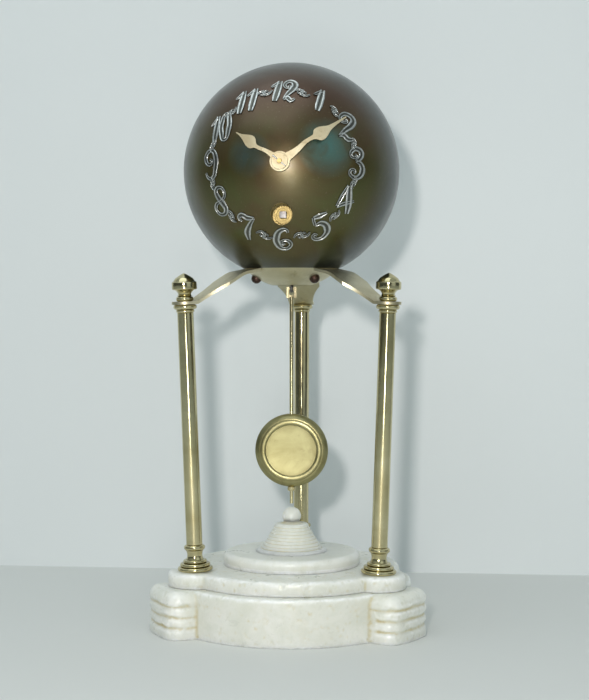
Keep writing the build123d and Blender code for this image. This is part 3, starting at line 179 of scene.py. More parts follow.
steelLook = dict(bright=(0.62, 0.63, 0.64), dark=(0.34, 0.34, 0.35), rust=(0.22, 0.13, 0.07),
                 smooth=0.22, dull=0.42)
darkSteelLook = dict(bright=(0.16, 0.155, 0.15), dark=(0.045, 0.043, 0.042), rust=(0.14, 0.075, 0.04),
                     smooth=0.28, dull=0.5)
screwSteelLook = dict(bright=(0.11, 0.07, 0.055), dark=(0.03, 0.02, 0.017), rust=(0.10, 0.05, 0.03),
                      smooth=0.34, dull=0.55)


def agedSteel(name, look):
    mat, tree, shader = newMaterial(name)
    spot = objectSpot(tree)
    grain = cloud(tree, spot, 420.0, detail=6.0, rough=0.65)
    stain = remap(tree, cloud(tree, spot, 160.0, detail=7.0, rough=0.7, warp=0.4), 0.58, 0.76)
    body = mixColour(tree, grain, look["bright"], look["dark"])
    worn = mixColour(tree, pointedness(tree, 0.53, 0.60), body, look["bright"])
    feed(tree, shader, {"Base Color": mixColour(tree, stain, worn, look["rust"]), "Metallic": 1.0,
                        "Roughness": remap(tree, grain, 0.3, 0.7, look["smooth"], look["dull"])})
    addBump(tree, shader, grain, strength=0.12, deep=0.05)
    return mat


dial = dict(centre=Vector((0, 0, 256.6 * mm)), ball=61 * mm, wall=1.5 * mm, mouth=23 * mm,
            handHole=4 * mm, windingDrop=27 * mm, windingHole=5.75 * mm)
# rim is the colour of the painted shade towards the ball's edge, seen from the front
patinaLook = dict(olive=(0.084, 0.092, 0.022), brown=(0.092, 0.058, 0.018), rim=(0.032, 0.042, 0.038),
                  crown=(0.075, 0.036, 0.016), fleck=(0.20, 0.17, 0.10), crownBand=(2 * mm, 36 * mm),
                  rimBand=(-0.62, -0.30), metal=0.72, coat=0.50, coatRough=0.28, smooth=0.30, dull=0.44,
                  blooms=[((24, -54, 8), 17, (0.060, 0.190, 0.175)),
                          ((-17, -57, 4), 13, (0.060, 0.110, 0.110))])


def patinaBronze(name, look):
    mat, tree, shader = newMaterial(name)
    spot = objectSpot(tree, dial["centre"])
    cast = cloud(tree, spot, 16.0, detail=5.0, rough=0.6, warp=1.2)
    body = mixColour(tree, remap(tree, cast, 0.36, 0.66), look["olive"], look["brown"])
    crown = remap(tree, spotAlong(tree, spot, "Z"), *look["crownBand"])
    body = mixColour(tree, crown, body, look["crown"])
    # darker towards the ball's edge as seen from the front: painted shade
    rim = remap(tree, spotAlong(tree, spot, "Y"), *[share * dial["ball"] for share in look["rimBand"]])
    body = mixColour(tree, rim, body, look["rim"])
    swirl = cloud(tree, spot, 70.0, detail=5.0, rough=0.6, warp=0.8)
    for near, wide, tint in look["blooms"]:  # iridescent patches beside the hands
        gap = vectors(tree, "DISTANCE", spot, Vector(near) * mm)
        fade = remap(tree, gap, wide * mm, 0.15 * wide * mm)
        bloom = maths(tree, "MULTIPLY", fade, remap(tree, swirl, 0.15, 0.6))
        body = mixColour(tree, bloom, body, tint)
    speck = remap(tree, cloud(tree, spot, 900.0, detail=3.0, rough=0.6), 0.63, 0.75, 0.0, 0.5)
    feed(tree, shader, {"Base Color": mixColour(tree, speck, body, look["fleck"]), "Metallic": look["metal"],
                        "Coat Weight": look["coat"], "Coat Roughness": look["coatRough"],
                        "Roughness": remap(tree, swirl, 0.3, 0.7, look["smooth"], look["dull"])})
    dents = cloud(tree, spot, 520.0, detail=4.0, rough=0.6)
    addBump(tree, shader, dents, strength=0.06, deep=0.05)
    return mat


silverLook = dict(bright=(0.70, 0.71, 0.69), grey=(0.40, 0.41, 0.40), recess=(0.115, 0.115, 0.10),
                  floor=0.38 * mm, crest=0.64 * mm, smooth=0.24, dull=0.44)


def silveredMetal(name, look):
    mat, tree, shader = newMaterial(name)
    spot = objectSpot(tree, dial["centre"])
    reach = vectors(tree, "LENGTH", spot)
    raised = remap(tree, reach, dial["ball"] + look["floor"], dial["ball"] + look["crest"])
    fleck = cloud(tree, spot, 700.0, detail=5.0, rough=0.7)
    body = mixColour(tree, remap(tree, fleck, 0.35, 0.7), look["bright"], look["grey"])
    feed(tree, shader, {"Base Color": mixColour(tree, raised, look["recess"], body), "Metallic": 1.0,
                        "Roughness": remap(tree, fleck, 0.3, 0.7, look["smooth"], look["dull"])})
    addBump(tree, shader, fleck, strength=0.15, deep=0.08)
    return mat


# the near white goes on the sharp edges as bruising of the stone and partly as painted highlight
# the yellowed tint goes on as painted shade in the creases
stoneLook = dict(milk=(0.79, 0.785, 0.725), cloudy=(0.71, 0.71, 0.63), vein=(0.70, 0.66, 0.53),
                 dirt=(0.63, 0.55, 0.32), frost=(0.94, 0.94, 0.91), crystal=(0.64, 0.655, 0.57),
                 depth=9 * mm, glow=0.75, glowTint=(1.0, 0.96, 0.86), clearBand=(34 * mm, 58 * mm),
                 coat=0.20, coatRough=0.18, smooth=0.24, dull=0.46)


def alabaster(name, look):
    mat, tree, shader = newMaterial(name)
    spot = objectSpot(tree)
    drift = cloud(tree, spot, 24.0, detail=6.0, rough=0.6, warp=1.5)
    body = mixColour(tree, remap(tree, drift, 0.40, 0.68), look["milk"], look["cloudy"])
    wave = addNode(tree, "ShaderNodeTexWave",
                   {"Vector": spot, "Scale": 9.0, "Distortion": 14.0, "Detail": 5.0, "Detail Scale": 2.0,
                    "Detail Roughness": 0.62})
    vein = remap(tree, wave.outputs["Fac"], 0.92, 1.0, 0.0, 0.16)
    body = mixColour(tree, vein, body, look["vein"])
    clot = remap(tree, cloud(tree, spot, 95.0, detail=8.0, rough=0.7, warp=0.9), 0.44, 0.70, 0.0, 0.55)
    body = mixColour(tree, clot, body, look["crystal"])
    clear = remap(tree, spotAlong(tree, spot, "Z"), *look["clearBand"], 0.0, 0.5)
    body = mixColour(tree, clear, body, look["crystal"])  # the thin turned tiers look clearer than the block
    settle = cloud(tree, spot, 130.0, detail=6.0, rough=0.65, warp=0.4)
    # lighter on the sharp edges: white bruising of the stone, partly a painted highlight
    bruiseAndHighlight = maths(tree, "MULTIPLY", pointedness(tree, 0.503, 0.535), remap(tree, settle, 0.3, 0.6))
    body = mixColour(tree, bruiseAndHighlight, body, look["frost"])
    # painted shade in the creases, in a yellowed tint
    creaseShade = maths(tree, "MULTIPLY", pointedness(tree, 0.498, 0.468), remap(tree, settle, 0.2, 0.65))
    feed(tree, shader, {"Base Color": mixColour(tree, creaseShade, body, look["dirt"]),
                        "Subsurface Weight": look["glow"], "Subsurface Radius": look["glowTint"],
                        "Subsurface Scale": look["depth"], "Coat Weight": look["coat"],
                        "Coat Roughness": look["coatRough"],
                        "Roughness": remap(tree, settle, 0.3, 0.7, look["smooth"], look["dull"])})
    dents = cloud(tree, spot, 300.0, detail=8.0, rough=0.72)
    addBump(tree, shader, dents, strength=0.30, deep=0.30)
    return mat


finishes = {
    "alabaster": alabaster("alabaster", stoneLook),
    "polished_brass": wornMetal("polishedBrass", brassLook),
    "bronze_patina": patinaBronze("patinaBronze", patinaLook),
    "silvered_metal": silveredMetal("silveredMetal", silverLook),
    "gilt_brass": wornMetal("giltBrass", giltLook),
    "movement_brass": wornMetal("movementBrass", movementLook),
    "steel": agedSteel("turnedSteel", steelLook),
    "dark_steel": agedSteel("darkSteel", darkSteelLook),
}
bobFinish = wornMetal("bobBrass", bobLook)
sheetFinish = wornMetal("brushedSheet", sheetLook)
screwFinish = agedSteel("brownedSteel", screwSteelLook)
turnedFinish = wornMetal("turnedBrass", movementLook, dial["centre"] - axisZ * dial["windingDrop"])
print("finishes made:", len(finishes) + 4)


# mesh helpers

def newObject(name, data):
    made = bpy.data.objects.new(name, data)
    scene.collection.objects.link(made)
    return made


def meshObject(name, bm):
    mesh = bpy.data.meshes.new(name)
    bm.to_mesh(mesh)
    bm.free()
    return newObject(name, mesh)


@contextmanager
def editing(obj):
    bm = bmesh.new()
    bm.from_mesh(obj.data)
    yield bm
    bm.to_mesh(obj.data)
    bm.free()


def smoothShade(obj, angle=35):
    for face in obj.data.polygons:
        face.use_smooth = True
    with editing(obj) as bm:
        for edge in bm.edges:
            edge.smooth = not (edge.is_manifold and edge.calc_face_angle() > radians(angle))
    return obj


def bevelEdges(obj, width, segments, angle):
    made = obj.modifiers.new("softEdge", "BEVEL")
    made.width = width * mm
    made.segments = segments
    made.limit_method = "ANGLE"
    made.angle_limit = radians(angle)
    return obj


def evaluatedMesh(obj):
    shape = obj.evaluated_get(bpy.context.evaluated_depsgraph_get())
    return bpy.data.meshes.new_from_object(shape)


def applied(obj):
    old, mesh = obj.data, evaluatedMesh(obj)
    obj.modifiers.clear()
    obj.data = mesh
    bpy.data.meshes.remove(old)
    return obj


def cutAway(obj, cutter):
    cut = obj.modifiers.new("cut", "BOOLEAN")
    cut.object = cutter
    cut.operation = "DIFFERENCE"
    applied(obj)
    bpy.data.objects.remove(cutter)


weldLook = dict(gap=0.002, flat=0.6)


def mergedCopy(node, name):
    bm = bmesh.new()
    bm.from_mesh(nodes[node].data)
    bmesh.ops.remove_doubles(bm, verts=bm.verts, dist=weldLook["gap"] * mm)
    flat = radians(weldLook["flat"])
    bmesh.ops.dissolve_limit(bm, angle_limit=flat, verts=bm.verts, edges=bm.edges)
    return meshObject(name, bm)


def fit(obj, *stoodFor, finish=None):
    slot = slotOfNode[stoodFor[0]]
    obj.data.materials.clear()
    obj.data.materials.append(finish or finishes[slot])
    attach(obj, bodyOfNode[stoodFor[0]])
    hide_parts(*stoodFor)
    return obj


def softSolid(name, node, angle, width, finish=None, segments=2, limit=32):
    made = smoothShade(mergedCopy(node, name), angle)
    return fit(bevelEdges(made, width, segments, limit), node, finish=finish)


def joinRings(bm, rings, closed):
    turns = max(len(ring) for ring in rings)
    pairs = list(zip(rings, rings[1:]))
    if closed:
        pairs.append((rings[-1], rings[0]))
    for first, second in pairs:
        for step in range(turns):
            corners = []
            for ring, at in ((first, step), (first, step + 1), (second, step + 1), (second, step)):
                corner = ring[at % len(ring)]
                if corner not in corners:
                    corners.append(corner)
            if len(corners) > 2:
                bm.faces.new(corners)
    bmesh.ops.recalc_face_normals(bm, faces=bm.faces)


def lathe(name, profile, place, turns=96, closed=False):
    bm = bmesh.new()
    rings = []
    for radius, along in profile:
        ring = []
        for step in range(1 if radius < 0.001 else turns):  # one point on the axis itself
            angle = 2 * pi * step / turns
            spot = Vector((radius * cos(angle), radius * sin(angle), along)) * mm
            ring.append(bm.verts.new(place @ spot))
        rings.append(ring)
    joinRings(bm, rings, closed)
    return meshObject(name, bm)


def rod(name, radius, length, segments, place=stand):
    bm = bmesh.new()
    bmesh.ops.create_cone(bm, cap_ends=True, segments=segments, radius1=radius, radius2=radius,
                          depth=length, matrix=place)
    return meshObject(name, bm)


def shares(count, first=0):
    return [step / count for step in range(first, count + 1)]


def quarter(count, first=0):  # angles of a quarter turn
    return [pi / 2 * share for share in shares(count, first)]


def beadLine(radius, base, height, steps=10):  # half-round edge of a turned ring
    half = height / 2
    angles = [pi * (share - 0.5) for share in shares(steps)]
    return [(radius - half + half * cos(a), base + half + half * sin(a)) for a in angles]


def coveLine(radius, base, height, flare):  # hollow between two rings
    return [(radius + flare * (2 * s - 1) ** 2, base + height * s) for s in shares(10)]


# tree builder for the pieces that repeat or follow the ball

def newTree(name, **sockets):
    tree = bpy.data.node_groups.new(name, "GeometryNodeTree")
    for way in ("INPUT", "OUTPUT"):
        tree.interface.new_socket("Geometry", in_out=way, socket_type="NodeSocketGeometry")
    for label, kind in sockets.items():
        tree.interface.new_socket(label, in_out="INPUT", socket_type="NodeSocket" + kind)
    return tree, tree.nodes.new("NodeGroupInput").outputs, tree.nodes.new("NodeGroupOutput")


def dressTree(tree, shape, given, done):
    real = addNode(tree, "GeometryNodeRealizeInstances", {"Geometry": shape})
    dressed = addNode(tree, "GeometryNodeSetMaterial", {"Geometry": real.outputs["Geometry"],
                                                        "Material": given["Material"]})
    feed(tree, done, {"Geometry": dressed.outputs["Geometry"]})
    return tree


def runTree(obj, tree, name, **values):
    made = obj.modifiers.new(tree.name, "NODES")
    made.node_group = tree
    for item in tree.interface.items_tree:
        if item.in_out == "INPUT" and item.name in values:
            made[item.identifier] = values[item.name]
    mesh = evaluatedMesh(obj)
    bpy.data.objects.remove(obj)
    return newObject(name, mesh)


# base

blockStone = dict(grain=0.75, wear=0.60, passes=9, chip=26.0, swell=0.16, pits=0.45,
                  ribs=(0.25, 0.47, 0.70), ribsFrom=70.0, ribWide=1.2, ribDeep=0.8, ribWander=0.9)
slabStone = dict(grain=0.7, wear=0.60, passes=24, chip=34.0, swell=0.12, pits=0.6, ribs=())
noiseScale = dict(swell=70, pits=240, ribs=110, turned=160)
stoneWear = dict(bias=0.25, gain=1.6, least=0.12, seatFade=2.5, seatStart=0.15, pitFrom=0.2, pitMost=0.5,
                 lobeFade=3.0)


def vertexData(mesh, key):
    values = np.zeros(len(mesh.vertices) * 3)
    mesh.vertices.foreach_get(key, values)
    return values.reshape(-1, 3)


def noiseAt(spots, scale, octaves=0):
    if octaves:
        return np.array([noise.fractal(Vector(p) * scale, 1.0, 2.0, octaves) for p in spots])
    return np.array([noise.noise(Vector(p) * scale) for p in spots])


def wornStone(name, node, look):
    made = mergedCopy(node, name)
    grid = made.modifiers.new("grain", "REMESH")
    grid.mode = "VOXEL"
    grid.voxel_size = look["grain"] * mm
    mesh = applied(made).data
    spots, rest, normals = [vertexData(mesh, key) for key in ("co", "co", "normal")]
    level = rest[:, 2]
    ends = np.zeros(len(mesh.edges) * 2, int)
    mesh.edges.foreach_get("vertices", ends)
    ends = ends.reshape(-1, 2)
    links = np.bincount(ends.ravel(), minlength=len(rest))[:, None]
    chips = (noiseAt(rest, 3000 / look["chip"], 4) + stoneWear["bias"]) * stoneWear["gain"]
    mask = np.clip(chips, stoneWear["least"], 1.0) * look["wear"]
    mask *= np.clip((level - level.min()) / mm / stoneWear["seatFade"] - stoneWear["seatStart"], 0, 1)
    mask = mask[:, None]  # nothing at the seat, which stays flat with a full edge
    for _ in range(look["passes"]):
        total = np.zeros_like(spots)
        np.add.at(total, ends[:, 0], spots[ends[:, 1]])
        np.add.at(total, ends[:, 1], spots[ends[:, 0]])
        spots += mask * (total / links - spots)
    swell = np.minimum(noiseAt(rest, noiseScale["swell"]), 0) * look["swell"] * mm
    pits = np.clip(noiseAt(rest, noiseScale["pits"], 3) - stoneWear["pitFrom"], 0, stoneWear["pitMost"])
    pits *= look["pits"] * mm
    spots += normals * (swell - pits)[:, None] * (mask > 0)
    wander = noiseAt(rest, noiseScale["ribs"])
    for share in look["ribs"]:  # grooves of the lobes, cut again where the wear softened them
        off = level - share * level.max() - wander * look["ribWander"] * mm
        near = np.exp(-(off / (look["ribWide"] * mm)) ** 2) * np.clip(0.75 + 1.2 * wander, 0.25, 1.2)
        past = np.hypot(rest[:, 0], rest[:, 1]) / mm - look["ribsFrom"]
        onLobe = np.clip(past / stoneWear["lobeFade"], 0, 1)
        spots[:, :2] -= normals[:, :2] * (near * onLobe * look["ribDeep"] * mm)[:, None]
    mesh.vertices.foreach_set("co", spots.ravel())
    mesh.update()
    for face in mesh.polygons:
        face.use_smooth = True
    return fit(made, node)


wornStone("baseBlock", "base_block", blockStone)
wornStone("baseSlab", "base_slab", slabStone)

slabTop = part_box("base_slab")[1].z / mm
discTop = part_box("base_disc")[1].z / mm
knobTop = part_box("base_boss")[1].z / mm
discTurn = dict(radius=38.8, edge=3.0, lip=0.12)
bossTurn = dict(foot=20.2, footRise=1.8, wide=17.4, neck=9.4, rise=13.7, rings=8, groove=0.34,
                knob=5.4, collar=((6.6, 0.1), (5.0, 0.8), (4.5, 1.8), (4.8, 2.8)))
turnedWear = dict(deep=0.35, seat=0.2)


def turnedStone(name, profile):
    made = lathe(name, profile, stand, 128)
    with editing(made) as bm:
        low = min(v.co.z for v in bm.verts)
        for vert in bm.verts:
            out = Vector((vert.co.x, vert.co.y, 0))
            if vert.co.z > low + turnedWear["seat"] * mm and out.length > 0:
                worn = abs(noise.noise(vert.co * noiseScale["turned"])) * turnedWear["deep"] * mm
                vert.co -= out.normalized() * worn
    return smoothShade(made, 50)


def discProfile(radius, edge, lip):
    line = [(0, slabTop), (radius - lip, slabTop), (radius, slabTop + lip)]
    wall = discTop - slabTop - lip - edge
    line += [(radius, slabTop + lip + wall * share) for share in shares(4)]
    for angle in quarter(8, 1):
        line.append((radius - edge * (1 - cos(angle)), discTop - edge * (1 - sin(angle))))
    return line + [((radius - edge) * (1 - share), discTop) for share in shares(12, 1)]


def bossProfile(foot, footRise, wide, neck, rise, rings, groove, knob, collar):
    line = [(0, discTop), (foot, discTop)]
    for angle in quarter(8, 1):
        line.append((foot + (wide - foot) * (1 - cos(angle)), discTop + footRise * sin(angle)))
    base = discTop + footRise
    for share in shares(96, 1):
        ring = abs(sin(share * rings * pi)) ** 0.5
        radius = wide + (neck - wide) * (0.8 * share + 0.2 * sin(share * pi / 2))
        line.append((radius - groove * (1 - ring), base + rise * share))
    line += [(radius, base + rise + above) for radius, above in collar]
    tall = knob * 0.95
    for share in shares(16):
        angle = pi / 2 * (share * 1.5 - 0.5)
        line.append((max(knob * cos(angle), 0), knobTop - tall + tall * sin(angle)))
    return line[:-1] + [(0, knobTop)]


fit(turnedStone("baseDisc", discProfile(**discTurn)), "base_disc")
fit(turnedStone("baseBoss", bossProfile(**bossTurn)), "base_boss")
print("base carved")


# columns

columnTurn = dict(footCircle=58.6, topCircle=64.4, tabHeight=181.6, sheet=1.6, shaft=4.5, wall=1.0,
                  shaftRound=0.25, footDisc=(9.8, 2.4), footRing=(8.4, 2.0), footCollar=(6.6, 1.8),
                  footNeck=(4.2, 5.2), neckFlare=0.7, footBead=(5.9, 3.0), footInset=0.9, footLift=0.25,
                  capRing=(5.1, 1.8), capBead=(6.5, 2.8), rodHole=2.0)
finialTurn = dict(ring=(4.9, 2.8), neck=(3.5, 3.6), neckFlare=0.8, head=(6.9, 4.6), headInset=1.4, soft=0.8,
                  shoulder=(4.9, 1.8), point=2.8)
columnSides = {"rear": 90, "left": 210, "right": 330}


def columnPlace(angle):
    out = Vector((cos(radians(angle)), sin(radians(angle)), 0))
    foot = out * columnTurn["footCircle"] * mm + axisZ * slabTop * mm
    head = out * columnTurn["topCircle"] * mm + axisZ * columnTurn["tabHeight"] * mm
    along = (head - foot).normalized()
    side = Vector((-out.y, out.x, 0))
    place = Matrix((side, along.cross(side), along)).transposed().to_4x4()
    place.translation = foot
    return place, (head - foot).length / mm


def footProfile(look):
    hole, lift = look["rodHole"], look["footLift"]
    line = [(hole, lift), (look["footDisc"][0] - look["footInset"], lift)]
    level = 0
    for key in ("footDisc", "footRing", "footCollar", "footNeck", "footBead"):
        wide, tall = look[key]
        if key == "footNeck":
            line += coveLine(wide, level, tall, look["neckFlare"])
        else:
            line += beadLine(wide, level, tall, 14 if key == "footBead" else 10)
        level += tall
    return line + [(hole, level)], level


def capProfile(look, top):
    base = top - look["capRing"][1] - look["capBead"][1]
    line = [(look["rodHole"], base)] + beadLine(look["capRing"][0], base, look["capRing"][1])
    line += beadLine(look["capBead"][0], base + look["capRing"][1], look["capBead"][1], 14)
    return line + [(look["rodHole"], top)], base


def finialProfile(base, ring, neck, neckFlare, head, headInset, soft, shoulder, point):
    line = [(0, base)] + beadLine(ring[0], base, ring[1], 12)
    level = base + ring[1]
    wide, tall = head
    for share in shares(12, 1):
        flare = neckFlare * max(0, 1 - 3 * share)
        flare += (wide - headInset - neck[0]) * (max(0, share - 0.25) / 0.75) ** 2
        line.append((neck[0] + flare, level + neck[1] * share))
    level += neck[1]
    for angle in quarter(6):
        line.append((wide - soft + soft * sin(angle), level + soft * (1 - cos(angle))))
    level += tall
    for angle in quarter(6):
        line.append((wide - soft + soft * cos(angle), level - soft + soft * sin(angle)))
    wide, tall = shoulder
    line += [(wide + 0.4, level + tall * 0.7), (wide, level + tall)]
    return line + [(wide * (1 - s) ** 0.8, level + tall + point * s) for s in shares(8, 1)]


def shaftProfile(look, low, high):
    radius, soft = look["shaft"], look["shaftRound"]
    line = [(radius - soft, low), (radius, low + soft)]
    line += [(radius, low + (high - low) * share) for share in shares(25, 1)[:-1]]
    line += [(radius, high - soft), (radius - soft, high)]
    return line + [(radius - look["wall"], high), (radius - look["wall"], low)]


for side, angle in columnSides.items():
    place, length = columnPlace(angle)
    footLine, footTop = footProfile(columnTurn)
    capLine, capBase = capProfile(columnTurn, length)
    finialLine = finialProfile(length + columnTurn["sheet"], **finialTurn)
    for name, node, line, turns in (
            ("columnFoot.", "column_foot_", footLine, 96),
            ("columnShaft.", "column_shaft_", shaftProfile(columnTurn, footTop, capBase), 80),
            ("columnCapital.", "column_capital_", capLine, 96), ("finial.", "finial_", finialLine, 96)):
        hollow = node != "finial_"
        fit(smoothShade(lathe(name + side, line, place, turns, hollow)), node + side)
print("columns turned")


# cradle and its screws

softSolid("cradle", "cradle", 30, 0.35, sheetFinish, segments=3, limit=40)
screwLook = dict(head=2.9, rise=3.2, shank=1.5, length=9.5, slot=0.5, slotDepth=0.5)
seatLook = dict(circle=20.0, turn=-15, dishSphere=38.42, dishCentre=229.3)


def slottedScrew(head, rise, shank, length, slot, slotDepth):
    bend = (head ** 2 / rise + rise) / 2
    line = [(0, -rise)]
    for share in shares(12, 1):
        radius = head * share
        line.append((radius, bend - rise - sqrt(bend ** 2 - radius ** 2)))
    line += [(head, 0.0), (shank, 0.02), (shank, length), (0, length)]
    made = lathe("screwPattern", line, stand, 40)
    bm = bmesh.new()
    size = (slot * mm, 3 * head * mm, 2 * slotDepth * mm)
    place = Matrix.Translation((0, 0, -rise * mm)) @ Matrix.Diagonal((*size, 1))
    bmesh.ops.create_cube(bm, size=1, matrix=place)
    cutAway(made, meshObject("slotCutter", bm))
    return smoothShade(made, 30)


def repeatTree(name):
    tree, given, done = newTree(name, Pattern="Object", Material="Material")
    aim = addNode(tree, "GeometryNodeInputNamedAttribute", {"Name": "aim"}, data_type="FLOAT_VECTOR")
    turned = addNode(tree, "FunctionNodeAlignRotationToVector", {"Vector": aim.outputs["Attribute"]},
                     axis="Z")
    pattern = addNode(tree, "GeometryNodeObjectInfo", {"Object": given["Pattern"]})
    copies = addNode(tree, "GeometryNodeInstanceOnPoints", {"Points": given["Geometry"],
                                                            "Instance": pattern.outputs["Geometry"],
                                                            "Rotation": turned.outputs["Rotation"]})
    return dressTree(tree, copies.outputs["Instances"], given, done)


def aimedPoints(name, spots, aims):
    mesh = bpy.data.meshes.new(name)
    mesh.from_pydata(spots, [], [])
    aim = mesh.attributes.new("aim", "FLOAT_VECTOR", "POINT")
    aim.data.foreach_set("vector", [c for a in aims for c in a])
    return newObject(name, mesh)


repeatAlong = repeatTree("repeatAlongAim")
seats, aims = [], []
drop = sqrt(seatLook["dishSphere"] ** 2 - seatLook["circle"] ** 2)
for angle in columnSides.values():
    turn = radians(angle + seatLook["turn"])
    seat = Vector((seatLook["circle"] * cos(turn), seatLook["circle"] * sin(turn), -drop)) * mm
    seats.append(axisZ * seatLook["dishCentre"] * mm + seat)
    aims.append(-seat.normalized())
screwPattern = slottedScrew(**screwLook)
screws = runTree(aimedPoints("screwSeats", seats, aims), repeatAlong, "cradleScrews",
                 Pattern=screwPattern, Material=screwFinish)
bpy.data.objects.remove(screwPattern)
fit(screws, "cradle_screws", finish=screwFinish)
print("cradle fitted")


# ball

ballMesh = dict(turns=160, outerRings=64, innerRings=40, seam=0.15 * mm, boreTurns=96, skin=0.02 * mm)


def ballHalf(name, front, poleHole):
    bm = bmesh.new()
    turns, seam, side = ballMesh["turns"], ballMesh["seam"], pi / 2
    outer, inner = dial["ball"], dial["ball"] - dial["wall"]
    start, end = asin(poleHole / outer), asin(poleHole / inner)
    line = [(outer, start + (side - seam / outer - start) * s) for s in shares(ballMesh["outerRings"])]
    line.append((outer - seam, side))
    line += [(inner, side + (end - side) * s) for s in shares(ballMesh["innerRings"])]
    rings = []
    for radius, tilt in line:
        out, away = sin(tilt) * radius, -front * cos(tilt) * radius
        angles = [2 * pi * s / turns for s in range(1 if tilt < 1e-6 else turns)]
        spots = [dial["centre"] + Vector((out * cos(a), away, out * sin(a))) for a in angles]
        rings.append([bm.verts.new(spot) for spot in spots])
    joinRings(bm, rings, poleHole > 0)
    return meshObject(name, bm)


def bore(obj, radius, spot, along, length):
    place = Matrix.Translation(spot) @ along.to_track_quat("Z", "Y").to_matrix().to_4x4()
    cutAway(obj, rod("boreCutter", radius, length, ballMesh["boreTurns"], place))


def roundShade(obj):  # normals straight from the ball's centre, so holes leave no dents in the gloss
    mesh = obj.data
    radii = (dial["ball"], dial["ball"] - dial["wall"])
    normals = [axisZ] * len(mesh.loops)
    for face in mesh.polygons:
        face.use_smooth = True
        reach = [(mesh.vertices[i].co - dial["centre"]).length for i in face.vertices]
        onSkin = any(all(abs(x - r) < ballMesh["skin"] for x in reach) for r in radii)
        for index in face.loop_indices:
            out = (mesh.vertices[mesh.loops[index].vertex_index].co - dial["centre"]).normalized()
            facing = out if out.dot(face.normal) > 0 else -out
            normals[index] = facing if onSkin else face.normal.copy()
    mesh.normals_split_custom_set(normals)
    return obj


for name, node, front in (("ballFront", "ball_front_shell", 1), ("ballRear", "ball_rear_shell", -1)):
    half = ballHalf(name, front, dial["handHole"] if front > 0 else 0)
    bore(half, dial["mouth"], dial["centre"] - axisZ * dial["ball"], axisZ, 0.6 * dial["ball"])
    if front > 0:
        hole = dial["centre"] + Vector((0, -0.8 * dial["ball"], -dial["windingDrop"]))
        bore(half, dial["windingHole"], hole, Vector((0, 1, 0)), dial["ball"])
    fit(roundShade(half), node)
softSolid("windingRim", "winding_hole_rim", 40, 0.12)
print("ball made")


# numerals: pen strokes with swelling widths, raised on the ball and joined by small scrolls

